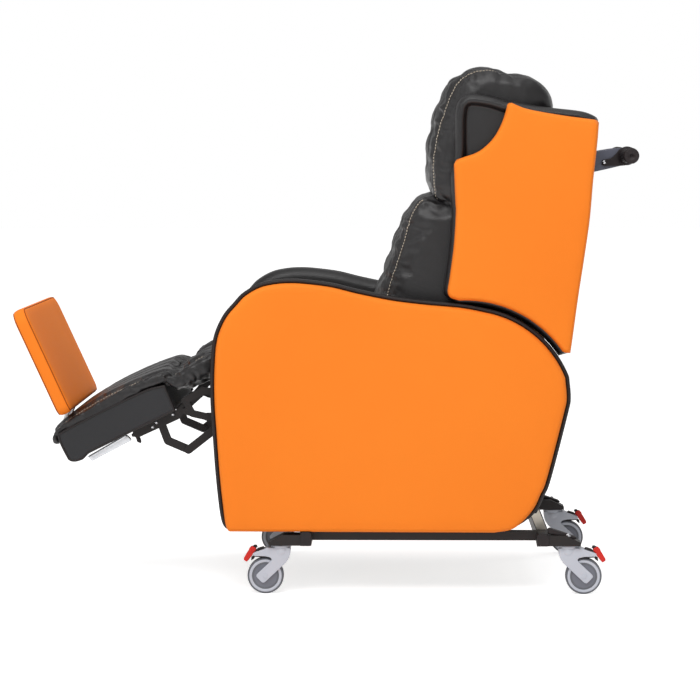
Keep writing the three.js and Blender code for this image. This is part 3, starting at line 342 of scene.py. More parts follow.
zinc = bright_metal("zinc_plate", linear(238, 230, 216), linear(222, 214, 200), 0.4, 0.55)
rail_steel = bright_metal("rail_steel", linear(224, 226, 228), linear(200, 202, 206), 0.36, 0.5)
chrome_screw = bright_metal("screw_chrome", linear(215, 215, 218), linear(190, 190, 195), 0.2, 0.3)
print("materials:", len(bpy.data.materials))

# %% Give the frame's own nodes their finish
slot_finish = {
    "orange_upholstery": orange_cover, "black_upholstery": black_cover, "frame_black": frame_paint,
    "bright_steel": zinc, "handle_grey": handle_paint, "grip_black": grip_rubber,
    "castor_grey": castor_nylon, "hub_grey": hub_nylon, "tyre_grey": tyre_rubber,
    "pedal_red": pedal_nylon, "plywood": plain_wood,
}
for part in frame["record"]["subparts"]:
    shown = frame["nodes"][part["node"]]
    for slot in shown.material_slots:
        slot.material = slot_finish[part["material_slot"]]


# %% [markdown]
# Lines. Most of this chair is drawn in its side view, as an upholsterer's templates are. A line is
# a few chosen places, joined by a smooth curve, and cut into even steps.

# %% Line helpers
def even(line, spacing):
    steps = np.linalg.norm(np.diff(line, axis=0), axis=1)
    run = np.concatenate([[0], np.cumsum(steps)])
    marks = np.linspace(0, run[-1], max(2, round(run[-1] / spacing)) + 1)
    return np.stack([np.interp(marks, run, line[:, axis]) for axis in range(line.shape[1])], axis=1)


def smooth(points, spacing):
    """A smooth curve through chosen places, in even steps."""
    spots = np.array(points, float)
    ghost = np.vstack([2 * spots[0] - spots[1], spots, 2 * spots[-1] - spots[-2]])
    step = np.linspace(0, 1, 12, endpoint=False)[:, None]
    runs = [
        0.5 * (2 * b + (c - a) * step + (2 * a - 5 * b + 4 * c - d) * step**2
               + (3 * b - a - 3 * c + d) * step**3)
        for a, b, c, d in zip(ghost, ghost[1:], ghost[2:], ghost[3:])
    ]
    return even(np.vstack([*runs, spots[-1:]]), spacing)


def straight(points, spacing):
    return even(np.array(points, float), spacing)


def arc(centre, radius, start, stop, spacing):
    count = max(2, round(abs(math.radians(stop - start)) * radius / spacing))
    turn = np.radians(np.linspace(start, stop, count + 1))
    return np.stack([centre[0] + radius * np.cos(turn), centre[1] + radius * np.sin(turn)], axis=1)


def closed(*runs, spacing=None):
    """One closed outline, counterclockwise, from runs that follow each other."""
    line = np.vstack([*runs, runs[0][:1]])
    line = line[np.append(True, np.linalg.norm(np.diff(line, axis=0), axis=1) > 1e-6)]
    line = (even(line, spacing) if spacing else line)[:-1]
    turn = np.sum(line[:, 0] * np.roll(line[:, 1], -1) - np.roll(line[:, 0], -1) * line[:, 1])
    return line if turn > 0 else line[::-1]


def shares_in(node_name, shares):
    """Shares of a node's box in the side view, as places."""
    low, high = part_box(node_name)
    return np.array([(low.y + y * (high.y - low.y), low.z + z * (high.z - low.z)) for y, z in shares])


def inset(line, distance):
    """A closed outline drawn in along its own normals."""
    ahead = np.roll(line, -1, axis=0) - np.roll(line, 1, axis=0)
    ahead /= np.linalg.norm(ahead, axis=1)[:, None]
    return line + distance * np.stack([-ahead[:, 1], ahead[:, 0]], axis=1)


def edge_distance(spots, line):
    """How far each place is from an outline."""
    start, stop = line, np.roll(line, -1, axis=0)
    along = stop - start
    share = np.einsum("pij,ij->pi", spots[:, None] - start, along) / np.einsum("ij,ij->i", along, along)
    near = start + np.clip(share, 0, 1)[:, :, None] * along
    return np.linalg.norm(spots[:, None] - near, axis=2).min(axis=1)


print("line helpers ready")


# %% Mesh helpers
def made_piece(name, verts, faces, material, body, slot=None, stands_for=(), smooth_faces=True):
    mesh = bpy.data.meshes.new(name)
    mesh.from_pydata([tuple(v) for v in verts], [], [tuple(int(i) for i in f) for f in faces])
    if smooth_faces:
        mesh.polygons.foreach_set("use_smooth", [True] * len(mesh.polygons))
    mesh.materials.append(material)
    piece = bpy.data.objects.new(name, mesh)
    scene.collection.objects.link(piece)
    return settle(piece, body, stands_for)


def settle(piece, body, stands_for=()):
    """Puts a finished piece on its body, and hides the frame's parts that it stands for."""
    if body:
        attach(piece, body)
    if stands_for:
        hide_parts(*stands_for)
    return piece


def mirrored(piece, name, body, stands_for=()):
    """The same piece for the other side."""
    mesh = piece.data.copy()
    mesh.name = name
    spots = np.zeros(len(mesh.vertices) * 3)
    mesh.vertices.foreach_get("co", spots)
    spots[0::3] *= -1
    mesh.vertices.foreach_set("co", spots)
    mesh.flip_normals()
    other = bpy.data.objects.new(name, mesh)
    scene.collection.objects.link(other)
    return settle(other, body, stands_for)


def round_edge(distance, radius):
    """A quarter round that rises from an edge and is level from there on."""
    reach = np.clip(distance / radius, 0, 1)
    return np.sqrt(np.clip(1 - (1 - reach) ** 2, 0, 1))


def pillow(line, upper, lower, edge, spacing, lay_out, depths=None):
    """Points and faces of a closed panel on an outline. upper and lower give its two faces' heights
    from the distance to the outline, and lay_out turns side-view places and heights into 3-D ones."""
    if depths is None:
        depths = [edge * (1 - math.cos(math.radians(angle))) for angle in (22, 40, 56, 72, 90)]
    rings = []
    for depth in depths:
        ring = inset(line, depth)
        rings.append(ring[edge_distance(ring, line) > 0.96 * depth])
    low, high = line.min(axis=0), line.max(axis=0)
    grid = np.stack(np.meshgrid(*[np.arange(low[k], high[k], spacing) for k in (0, 1)]), -1).reshape(-1, 2)
    clear = edge_distance(grid, line) > depths[-1] + 0.6 * spacing
    spots = np.vstack([line, *rings, grid[clear]])
    loop = [(i, (i + 1) % len(line)) for i in range(len(line))]
    found, _, faces, *_ = delaunay_2d_cdt([Vector(p) for p in spots], loop, [], 1, 1e-7)
    flat = np.array([tuple(p) for p in found])
    away = edge_distance(flat, line)
    rim = away < 1e-6
    count = len(flat)
    back = np.where(rim, np.arange(count), count + np.cumsum(~rim) - 1)
    top = lay_out(flat, upper(away, flat))
    bottom = lay_out(flat[~rim], -lower(away[~rim], flat[~rim]))
    under = [[back[i] for i in face[::-1]] for face in faces]
    return np.vstack([top, bottom]), [*faces, *under]


def slab(outline, middle, half, bevel, spacing=9 * mm):
    """A flat side-view piece across X with rounded edges."""
    def face(away, spots):
        return half - bevel * (1 - round_edge(away, bevel))

    return pillow(
        outline, face, face, bevel, spacing,
        lambda spots, height: np.stack([middle + height, spots[:, 0], spots[:, 1]], axis=1))


def places(*spots):
    """Places in the side view, given in millimetres of the frame."""
    return np.array(spots, float) * mm


def tube(line, radius, facets=10, loop=False, flat=1.0, across=(1, 0, 0)):
    """A round cord along a 3-D line."""
    line = np.array(line, float)
    ahead = np.roll(line, -1, axis=0) - np.roll(line, 1, axis=0) if loop else np.gradient(line, axis=0)
    ahead /= np.linalg.norm(ahead, axis=1)[:, None]
    side = np.array(across, float)[None] - ahead * (ahead @ np.array(across, float))[:, None]
    side /= np.linalg.norm(side, axis=1)[:, None]
    up = np.cross(ahead, side)
    turn = np.linspace(0, 2 * np.pi, facets, endpoint=False)
    ring = side[:, None] * np.cos(turn)[None, :, None] + flat * up[:, None] * np.sin(turn)[None, :, None]
    spots = (line[:, None] + radius * ring).reshape(-1, 3)
    rows = len(line) if loop else len(line) - 1
    faces = []
    for row in range(rows):
        after = (row + 1) % len(line)
        for k in range(facets):
            turned = (k + 1) % facets
            faces.append((row * facets + k, row * facets + turned, after * facets + turned, after * facets + k))
    if not loop:
        faces.append(tuple(range(facets))[::-1])
        faces.append(tuple((len(line) - 1) * facets + k for k in range(facets)))
    return spots, faces


def several(parts):
    """Many point and face lists as one."""
    spots, faces, offset = [], [], 0
    for points, polygons in parts:
        spots.append(np.array(points, float))
        faces.extend([tuple(i + offset for i in polygon) for polygon in polygons])
        offset += len(points)
    return np.vstack(spots), faces


def lathe(profile, centre, axis, facets=32):
    """A turned piece: (distance along the axis, radius) places, spun round it."""
    axis = Vector(axis).normalized()
    side = axis.orthogonal().normalized()
    up = axis.cross(side)
    turn = np.linspace(0, 2 * np.pi, facets, endpoint=False)
    spots, faces = [], []
    for along, radius in profile:
        for angle in turn:
            spots.append(Vector(centre) + axis * along + (side * math.cos(angle) + up * math.sin(angle)) * radius)
    for row in range(len(profile) - 1):
        for k in range(facets):
            turned = (k + 1) % facets
            faces.append((row * facets + k, row * facets + turned, (row + 1) * facets + turned, (row + 1) * facets + k))
    faces.append(tuple(range(facets))[::-1])
    faces.append(tuple((len(profile) - 1) * facets + k for k in range(facets)))
    return np.array([tuple(p) for p in spots]), faces


print("mesh helpers ready")

# %% [markdown]
# Arms. Each arm is a padded board: a black inner cover wraps over the edge, a cord of piping marks
# the join, and an orange panel is stapled on outside. All three follow one template, which sweeps
# up over the front, dips along the top and turns round the back's pivot. The panel is flat with a
# soft rolled edge, so its height is worked out from the distance to the template's edge.

# %% Arm template
recline = next(joint for joint in frame["joints"] if joint["name"] == "back_recline")
pivot = (recline["pos_m"][1], recline["pos_m"][2])
arm_low, arm_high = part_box("arm_inner_left")
panel_low, panel_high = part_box("arm_panel_left")
arm_front_shares = [
    (0.05, 0.002), (0.036, 0.018), (0.026, 0.068), (0.015, 0.207), (0.007, 0.361), (0, 0.525),
    (0.001, 0.658), (0.009, 0.768), (0.034, 0.853), (0.065, 0.907), (0.091, 0.946), (0.134, 0.981),
    (0.18, 0.996), (0.225, 1), (0.272, 0.996), (0.34, 0.983), (0.409, 0.959), (0.507, 0.931),
    (0.598, 0.915), (0.7, 0.902),
]
arm_rear_shares = [
    (1, 0.533), (0.993, 0.471), (0.946, 0.207), (0.927, 0.139), (0.909, 0.085), (0.88, 0.045),
    (0.84, 0.012), (0.79, 0),
]
arm_arc_share = 0.3103
arm_arc = arm_arc_share * (arm_high.y - arm_low.y)
arm_step = 7 * mm
arm_top_arc = arc(pivot, arm_arc, 78, 22, arm_step)
arm_front_line = smooth(np.vstack([shares_in("arm_inner_left", arm_front_shares), arm_top_arc[:1]]), arm_step)
arm_rear_line = smooth(np.vstack([arm_top_arc[-1:], shares_in("arm_inner_left", arm_rear_shares)]), arm_step)
arm_line = closed(arm_front_line, arm_top_arc, arm_rear_line, spacing=arm_step)
print("arm template:", len(arm_line), "places")

# %% Arm pads, panels and piping
piping_band = 8 * mm
roll = 20 * mm
arm_middle = (arm_low.x + arm_high.x) / 2
arm_half = (arm_high.x - arm_low.x) / 2
arm_pad = made_piece(
    "arm_pad_left",
    *pillow(
        arm_line,
        lambda away, spots: arm_half * round_edge(away, roll),
        lambda away, spots: arm_half * round_edge(away, roll) * (0.97 + 0.03 * np.cos(away / (24 * mm))),
        roll, 14 * mm,
        lambda spots, height: np.stack([arm_middle + height, spots[:, 0], spots[:, 1]], axis=1)),
    black_cover, "seat", "black_upholstery", ["arm_inner_left"])
mirrored(arm_pad, "arm_pad_right", "seat", ["arm_inner_right"])

panel_line = inset(arm_line, piping_band)
hem = arm_low.z + piping_band
hem_reach = 46 * mm
tuck = np.clip(1 - (panel_line[:, 1] - hem) / hem_reach, 0, 1)
panel_line[:, 1] -= (piping_band + 3.5 * mm) * tuck**2 * (3 - 2 * tuck)
panel_roll = 9 * mm
panel_depth = panel_high.x - panel_low.x


def panel_face(away, spots):
    crown = 1.2 * mm * (1 - np.exp(-away / (60 * mm)))
    return (panel_depth - 1.2 * mm) * round_edge(away, panel_roll) + crown


arm_cover = made_piece(
    "arm_side_left",
    *pillow(
        panel_line, panel_face, lambda away, spots: 1 * mm * round_edge(away, 4 * mm), panel_roll, 14 * mm,
        lambda spots, height: np.stack([panel_low.x + height, spots[:, 0], spots[:, 1]], axis=1)),
    orange_cover, "seat", "orange_upholstery", ["arm_panel_left"])
mirrored(arm_cover, "arm_side_right", "seat", ["arm_panel_right"])

cord = 4.6 * mm
cord_line = inset(arm_line, cord * 0.9)
cord_path = np.stack([np.full(len(cord_line), panel_low.x + 1 * mm), *cord_line.T], axis=1)
arm_cord = made_piece(
    "arm_piping_left", *tube(cord_path, cord, 10, loop=True), piping_cover, "seat", "black_upholstery")
mirrored(arm_cord, "arm_piping_right", "seat")
print("arms: panel depth", round(panel_depth / mm, 1), "mm")

# %% [markdown]
# Wings. The wing is the arm's partner on the back: an orange panel over a black pad. At its upper
# front the panel is scooped away, and the pad goes on as an ear, with a thick stuffed roll round its
# edge and a hollow web inside it. One height rule makes both: a round roll near the edge, and a
# lower level further in.

# %% Wing template
wing_arc = arm_arc + 12 * mm
wing_step = 6 * mm
wing_rear_shares = [
    (0.818, 0.004), (0.831, 0.058), (0.87, 0.234), (0.906, 0.378), (0.942, 0.536), (0.964, 0.694),
    (0.99, 0.842), (1, 0.924),
]
wing_top_shares = [(0.985, 0.932), (0.92, 0.937), (0.747, 0.951), (0.529, 0.975), (0.42, 1)]
wing_scoop_shares = [
    (0.395, 0.998), (0.38, 0.959), (0.347, 0.906), (0.292, 0.852), (0.205, 0.807), (0.114, 0.786),
    (0.055, 0.774),
]
wing_front_shares = [
    (0.042, 0.755), (0.044, 0.72), (0.052, 0.604), (0.055, 0.563), (0.042, 0.433), (0.013, 0.3),
    (0.001, 0.256), (0.008, 0.232), (0.03, 0.222),
]
wing_ridge_shares = [
    (1, 0.93), (0.985, 0.944), (0.92, 0.962), (0.84, 0.971), (0.747, 0.977), (0.62, 0.986), (0.5, 0.998),
    (0.44, 1.005), (0.405, 1.003),
]
ear_places = places(
    (370, 1010), (346, 1018), (322, 1023), (297, 1025), (281, 1020), (270, 1008), (265.5, 990), (264, 970),
    (264, 927), (263.5, 900), (261, 880), (256, 864))
wing_foot_arc = arc(pivot, wing_arc, 93, 34, wing_step)
pad_foot_arc = arc(pivot, arm_arc + 0.8 * mm, 94, 32, wing_step)
wing_rear = smooth(shares_in("wing_panel_left", wing_rear_shares), wing_step)
wing_top = smooth(shares_in("wing_panel_left", wing_top_shares), wing_step)
wing_scoop = smooth(shares_in("wing_panel_left", wing_scoop_shares), wing_step)
wing_front = smooth(shares_in("wing_panel_left", wing_front_shares), wing_step)
wing_line = closed(wing_rear, wing_top, wing_scoop, wing_front, wing_foot_arc, spacing=wing_step)
ear = smooth(np.vstack([shares_in("wing_panel_left", wing_ridge_shares[-1:]), ear_places]), wing_step)
wing_ridge = smooth(shares_in("wing_panel_left", wing_ridge_shares), wing_step)
pad_front = wing_front[4:] - (piping_band, 0)
wing_pad_line = closed(wing_rear, wing_ridge, ear, pad_front, pad_foot_arc[:-1], spacing=wing_step)
print("wing templates:", len(wing_line), "and", len(wing_pad_line), "places")

# %% Wing pads, panels and piping
wing_low, wing_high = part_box("wing_inner_left")
shell_low, shell_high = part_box("wing_panel_left")
wing_middle = (wing_low.x + wing_high.x) / 2
wing_half = (wing_high.x - wing_low.x) / 2
ear_roll = 11.5 * mm
crease_level, web_level, web_reach = 0.2, 0.36, 40 * mm


def ear_face(away, spots):
    """A stuffed roll round the edge, a crease, and a hollow web that rises slowly inside it."""
    bead = wing_half * np.sqrt(np.clip(1 - ((away - ear_roll) / ear_roll) ** 2, 0, 1))
    inside = np.clip(away - 2 * ear_roll, 0, None)
    web = wing_half * (crease_level + (web_level - crease_level) * (1 - np.exp(-inside / web_reach)))
    return np.where(away < ear_roll, bead, np.maximum(bead, web))


wing_pad = made_piece(
    "wing_pad_left",
    *pillow(
        wing_pad_line, ear_face, lambda away, spots: wing_half * round_edge(away, 15 * mm),
        15 * mm, 7 * mm,
        lambda spots, height: np.stack([wing_middle + height, spots[:, 0], spots[:, 1]], axis=1),
        depths=[step * mm for step in (1.2, 3.5, 6.5, 9.5, 12.5, 15.5, 18.5, 20.5, 22.2, 24, 28)]),
    black_cover, "back", "black_upholstery", ["wing_inner_left"])
mirrored(wing_pad, "wing_pad_right", "back", ["wing_inner_right"])

shell_depth = shell_high.x - shell_low.x
wing_cover = made_piece(
    "wing_side_left",
    *pillow(
        wing_line,
        lambda away, spots: (shell_depth - 1 * mm) * round_edge(away, 8 * mm)
        + 1 * mm * (1 - np.exp(-away / (50 * mm))),
        lambda away, spots: 1 * mm * round_edge(away, 4 * mm), 8 * mm, 12 * mm,
        lambda spots, height: np.stack([shell_low.x + height, spots[:, 0], spots[:, 1]], axis=1)),
    orange_cover, "back", "orange_upholstery", ["wing_panel_left"])
mirrored(wing_cover, "wing_side_right", "back", ["wing_panel_right"])
print("wings done")

# %% [markdown]
# The back's outside. A black cover closes the chair behind, from wing to wing. It is a thin board
# that follows the wings' rear edge, with piped side edges and a zip across, so that the frame inside
# can be reached. The board is a side-view outline, drawn right across the chair.

# %% Back shell
shell_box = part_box("back_shell")
shell_half = shell_box[1].x - 1 * mm
shell_thick = 20 * mm
outer_edge = wing_rear + (-0.5 * mm, 0)
shell_rim = shares_in("wing_panel_left", [(0.985, 0.937), (0.93, 0.955), (0.86, 0.958)])
inner_edge = outer_edge[::-1] - (shell_thick, 0)
shell_line = closed(outer_edge, shell_rim, inner_edge, spacing=8 * mm)
back_cover = made_piece(
    "back_cover", *slab(shell_line, 0, shell_half, 7 * mm, 14 * mm), black_cover, "back",
    "black_upholstery", ["back_shell"])
outside = [spot for spot in outer_edge if spot[1] > outer_edge[0, 1] + 8 * mm]
edge_cord = np.array([(shell_half - 6 * mm, y + 0.5 * mm, z) for y, z in outside])
back_edge = made_piece("back_edge_piping_left", *tube(edge_cord, 3 * mm, 8), piping_cover, "back")
mirrored(back_edge, "back_edge_piping_right", "back")
zip_height = 0.16
zip_spot = outer_edge[int(zip_height * len(outer_edge))]
zip_path = straight([(-0.23, zip_spot[0] + 0.6 * mm, zip_spot[1]), (0.23, zip_spot[0] + 0.6 * mm, zip_spot[1])], 10 * mm)
made_piece("back_zip", *tube(zip_path, 3.5 * mm, 8, across=(0, 0, 1), flat=0.4), grip_rubber, "back")
print("back cover", round(2 * shell_half / mm), "mm wide")

# %% [markdown]
# Behind the cushions a black lining is stapled between the wings. It closes the view through the
# frame below the back cushion. It is a thin board, bent once where the head begins, and it ends just
# above the recline shaft, which it turns about.

# %% Back lining
lining_thick, lining_half = 5 * mm, 276 * mm
lining_front = smooth(
    places((322, 400), (334, 446), (346, 494), (358, 560), (370, 650), (384, 740), (400, 830), (436, 900), (470, 960)), 12 * mm)
lining = closed(lining_front, lining_front[::-1] + (lining_thick, 0), spacing=5 * mm)
made_piece("back_lining", *slab(lining, 0, lining_half, 1 * mm, 16 * mm), black_cover, "back")
print("lining", round(2 * lining_half / mm), "mm wide")

# %% [markdown]
# Cushions. Each is a sewn bag over foam: a front face, side gussets and a seam between them that
# puckers. The bag starts as a rounded form between a front line and a rear line. It is remeshed to
# even squares and blown up gently as cloth, while the seams and sewn channels are held. So the cloth
# bulges between them and gathers beside them, which no modelled bulge does as well.

# %% Cushion form
def in_rows(line, rows):
    return even(line, np.linalg.norm(np.diff(line, axis=0), axis=1).sum() / rows)


def bag_rings(lines, half_width, rows, turn, corner=9.0, end_share=0.72):
    """Rings round a rounded form between a front and a rear side-view line."""
    front, rear = [in_rows(line, rows) for line in lines]
    place = np.linspace(-1, 1, rows + 1)
    ends = np.sqrt(1 - place**8)
    across = np.sign(np.cos(turn)) * np.abs(np.cos(turn)) ** (2 / corner)
    through = 0.5 + 0.5 * np.sign(np.sin(turn)) * np.abs(np.sin(turn)) ** (2 / corner)
    share = 0.5 + (through - 0.5)[None] * (end_share + (1 - end_share) * ends)[:, None]
    line = rear[:, None] + share[..., None] * (front - rear)[:, None]
    width = half_width * (0.95 + 0.05 * ends)
    return np.dstack([width[:, None] * across[None], line])


def bag(lines, half_width, rows=40, spokes=80, **shape):
    rings = bag_rings(lines, half_width, rows, np.linspace(0, 2 * np.pi, spokes, endpoint=False), **shape)
    faces = []
    for row in range(rows):
        for k in range(spokes):
            turned = (k + 1) % spokes
            faces.append((row * spokes + k, row * spokes + turned, (row + 1) * spokes + turned, (row + 1) * spokes + k))
    faces.append(tuple(range(spokes))[::-1])
    faces.append(tuple(rows * spokes + k for k in range(spokes)))
    return rings.reshape(-1, 3), faces


def long_seam(lines, half_width, share=None, rows=60, corner=9.0, turn=45, **shape):
    """A seam along a bag: at its left corner, or at a share of its half width across the front."""
    turn = math.radians(turn) if share is None else math.acos(abs(share) ** (corner / 2))
    turn = math.pi - turn if share is not None and share < 0 else turn
    return bag_rings(lines, half_width, rows, np.array([turn]), corner=corner, **shape)[:, 0]


def cross_seam(lines, half_width, share, rows=60, **shape):
    """A sewn channel across a bag's front, at a share of its length."""
    turn = np.radians(np.linspace(38, 142, 160))
    return bag_rings(lines, half_width, rows, turn, **shape)[round(share * rows)]


def other_side(line):
    return line * (-1, 1, 1)


def nearest(spots, line, step=4 * mm):
    """How far each place is from a line, and where along the line its nearest point lies."""
    gap = np.full(len(spots), np.inf)
    along = np.zeros(len(spots))
    for index, spot in enumerate(even(line, step)):
        reach = np.linalg.norm(spots - spot, axis=1)
        closer = reach < gap
        gap[closer] = reach[closer]
        along[closer] = index * step
    return gap, along


def gathers(gap, along, height, pitch=19 * mm, reach=13 * mm):
    """Small folds square to a seam, none on it, highest at their reach, and gone further off."""
    wander = np.sin(along * 2 * np.pi / (3.7 * pitch)) + 0.6 * np.sin(along * 2 * np.pi / (2.3 * pitch) + 1)
    wave = np.sin(along * 2 * np.pi / pitch + 1.6 * wander)
    size = 0.65 + 0.35 * np.sin(along * 2 * np.pi / (5.1 * pitch) + 2)
    return height * size * wave * gap / reach * np.exp(1 - gap / reach)


def blown(name, form, seams, voxel=6 * mm, growth=0.04, pressure=4.0, cap=12 * mm, crease=3 * mm, fold=3.4 * mm, stiff=10):
    """The form as a blown-up cloth bag, held at its seams."""
    mesh = bpy.data.meshes.new(name)
    mesh.from_pydata([tuple(p) for p in form[0]], [], [tuple(f) for f in form[1]])
    piece = bpy.data.objects.new(name, mesh)
    scene.collection.objects.link(piece)
    bpy.context.view_layer.objects.active = piece
    remesh = piece.modifiers.new("even", "REMESH")
    remesh.mode = "VOXEL"
    remesh.voxel_size = voxel
    bpy.ops.object.modifier_apply(modifier=remesh.name)
    mesh = piece.data
    start = np.array([v.co for v in mesh.vertices])
    held, folds = np.zeros(len(start)), np.zeros(len(start))
    for line, strength in seams:
        gap, along = nearest(start, line)
        held = np.maximum(held, strength * np.clip(1 - gap / (10 * mm), 0, 1))
        folds += gathers(gap, along, strength * fold)
    end = start
    pins = piece.vertex_groups.new(name="seams")
    for index in np.nonzero(held > 0.05)[0]:
        pins.add([int(index)], float(held[index]), "REPLACE")
    cloth = piece.modifiers.new("cloth", "CLOTH")
    rules = cloth.settings
    rules.quality = 5
    rules.mass = 0.3
    rules.tension_stiffness = stiff
    rules.compression_stiffness = stiff
    rules.shear_stiffness = stiff / 2
    rules.bending_stiffness = 0.3
    rules.use_pressure = True
    rules.uniform_pressure_force = pressure
    rules.shrink_min = -growth
    rules.effector_weights.gravity = 0
    rules.vertex_group_mass = pins.name
    cloth.collision_settings.use_collision = False
    for step in range(1, 21):
        scene.frame_set(step)
    shaped = piece.evaluated_get(bpy.context.evaluated_depsgraph_get()).to_mesh()
    move = np.array([v.co for v in shaped.vertices]) - start
    piece.modifiers.remove(cloth)
    length = np.linalg.norm(move, axis=1)
    end = start + move * (np.minimum(length, cap) / np.maximum(length, 1e-9))[:, None]
    print(name, len(start), "points, moved up to", round(length.max() / mm, 1), "mm")
    mesh.vertices.foreach_set("co", end.ravel())
    mesh.update()
    normals = np.array([v.normal for v in mesh.vertices])
    mesh.vertices.foreach_set("co", (end + (folds - crease * held)[:, None] * normals).ravel())
    mesh.polygons.foreach_set("use_smooth", [True] * len(mesh.polygons))
    divide = piece.modifiers.new("fine", "SUBSURF")
    divide.levels = divide.render_levels = 1
    bpy.ops.object.modifier_apply(modifier=divide.name)
    return piece


def stitches(name, piece, line, body, length=4.8 * mm, gap=1.8 * mm, thick=1.05 * mm, lift=0.6 * mm):
    """Thread along a line, laid on a piece's surface."""
    tree = BVHTree.FromObject(piece, bpy.context.evaluated_depsgraph_get())
    lay = []
    for spot in even(np.array(line, float), (length + gap) / 3):
        found, normal, *_ = tree.find_nearest(Vector(spot))
        lay.append(tuple(found + normal * lift))
    lay = np.array(lay)
    runs = [lay[k:k + 3] for k in range(0, len(lay) - 3, 3)]
    shortest = 0.2 * length / 2
    runs = [run for run in runs if np.linalg.norm(np.diff(run, axis=0), axis=1).min() > shortest]
    parts = [tube(run, thick, 5, across=(0.3, 0.5, 0.8)) for run in runs]
    return made_piece(name, *several(parts), thread, body)


print("cushion helpers ready")

# %% [markdown]
# Head cushion. It leans forward between the wings, full at the top, where a seam across divides it
# in two lobes, and its lower edge laps over the back cushion.

# %% Head cushion
head_low, head_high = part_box("head_cushion")
head_half = head_high.x - 7 * mm
head_lines = (
    smooth(places((226, 806), (219, 822), (216, 850), (214, 885), (216, 919), (222, 953), (233, 993), (245, 1026),
                  (257, 1049), (272, 1063), (294, 1073), (322, 1078), (356, 1070)), 8 * mm),
    smooth(places((262, 782), (300, 800), (350, 838), (386, 876), (430, 930), (462, 984), (472, 1008), (464, 1030),
                  (446, 1046), (422, 1056), (392, 1062)), 8 * mm))
head_seam = long_seam(head_lines, head_half, turn=38)
head_top_seam = cross_seam(head_lines, head_half, 1.0) + (0, 12 * mm, 0)
head_seams = [(head_seam, 1.0), (other_side(head_seam), 1.0), (head_top_seam, 0.4)]
head_channel_shares = (0.24, 0.42, 0.6, 0.77)
head_seams += [(cross_seam(head_lines, head_half, share), 0.35) for share in head_channel_shares]
head_cushion = blown("head_cushion_cover", bag(head_lines, head_half), head_seams, voxel=7 * mm)
head_cushion.data.materials.append(black_cover)
settle(head_cushion, "back", ["head_cushion"])
stitches("head_thread_left", head_cushion, head_seam[1:-1], "back")
stitches("head_thread_right", head_cushion, other_side(head_seam[1:-1]), "back")
print("head cushion", [round(v / mm) for v in (head_high - head_low)])

# %% [markdown]
# Back cushion. Four channels are sewn across it, so it lies in soft rolls, and its side seams pucker
# between them.

# %% Back cushion
back_low, back_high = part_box("back_cushion")
back_half = back_high.x - 7 * mm
back_lines = (
    smooth(places((112, 506), (102, 532), (98, 568), (104, 600), (112, 630), (122, 660), (134, 692), (146, 724),
                  (157, 754), (168, 779), (181, 801), (199, 815)), 8 * mm),
    smooth(places((352, 506), (362, 580), (370, 650), (376, 720), (372, 770), (340, 792), (300, 800), (262, 796),
                  (236, 806)), 8 * mm))
back_seam = long_seam(back_lines, back_half, turn=29)
back_seams = [(back_seam, 1.0), (other_side(back_seam), 1.0)]
back_channel_shares = (0.27, 0.43, 0.58, 0.73, 0.87)
back_seams += [(cross_seam(back_lines, back_half, share), 0.45) for share in back_channel_shares]
back_cushion = blown("back_cushion_cover", bag(back_lines, back_half), back_seams, voxel=7 * mm)
back_cushion.data.materials.append(black_cover)
settle(back_cushion, "back", ["back_cushion"])
stitches("back_thread_left", back_cushion, back_seam[2:-1], "back")
stitches("back_thread_right", back_cushion, other_side(back_seam[2:-1]), "back")
print("back cushion", [round(v / mm) for v in (back_high - back_low)])

# %% [markdown]
# Seat cushion. A firm block with a soft top, narrower below where it drops between the seat rails.

# %% Seat cushion
seat_low, seat_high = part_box("seat_cushion")
seat_half = seat_high.x - 6 * mm
seat_lines = (
    smooth(places((-242, 446), (-238, 474), (-212, 488), (-140, 490), (0, 485), (150, 478), (242, 472)), 8 * mm),
    smooth(places((-230, 378), (-90, 378), (90, 378), (242, 378)), 8 * mm))
seat_form = bag(seat_lines, seat_half, rows=56)
rail_room, rail_line = 236 * mm, 436 * mm
beside_rails = seat_form[0][:, 2] < rail_line
seat_form[0][beside_rails, 0] = np.clip(seat_form[0][beside_rails, 0], -rail_room, rail_room)
seat_seam = long_seam(seat_lines, seat_half)
seat_seams = [(seat_seam, 1.0), (other_side(seat_seam), 1.0), (cross_seam(seat_lines, seat_half, 0.2), 0.8)]
seat_cushion = blown("seat_cushion_cover", seat_form, seat_seams, voxel=10 * mm, cap=8 * mm, pressure=3.0)
seat_cushion.data.materials.append(black_cover)
settle(seat_cushion, "seat", ["seat_cushion"])
stitches("seat_thread_left", seat_cushion, seat_seam[4:-2], "seat")
stitches("seat_thread_right", seat_cushion, other_side(seat_seam[4:-2]), "seat")
print("seat cushion", [round(v / mm) for v in (seat_high - seat_low)])

# %% [markdown]
# Legrest. A boxed board in grey vinyl, piped round its sides, with a padded strip on top. The board's
# cover is pulled tight, so a rolled-edge outline drawn right across the chair is enough. The strip
# goes on over the knee to the seat, and a short bag covers the knee there.

# %% Legrest casing
slope = math.radians(24.7)
leg_along = np.array((-math.cos(slope), -math.sin(slope)))
leg_up = np.array((-math.sin(slope), math.cos(slope)))
lift = next(joint for joint in frame["joints"] if joint["name"] == "legrest_lift")
leg_pivot = np.array((lift["pos_m"][1], lift["pos_m"][2]))
leg_rear, leg_top = 65.5 * mm, 44.4 * mm
leg_length, leg_deep = 246 * mm, 57 * mm
casing_low, casing_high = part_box("legrest_casing")


def on_leg(out, up):
    """A place in the side view, out along the legrest and up from its top."""
    return leg_pivot + leg_along * (leg_rear + out) + leg_up * (leg_top + up)


def leg_places(shares):
    """Shares of the legrest's length and depth, as side-view places."""
    return np.array([on_leg(out * leg_length, up * leg_deep) for out, up in shares])


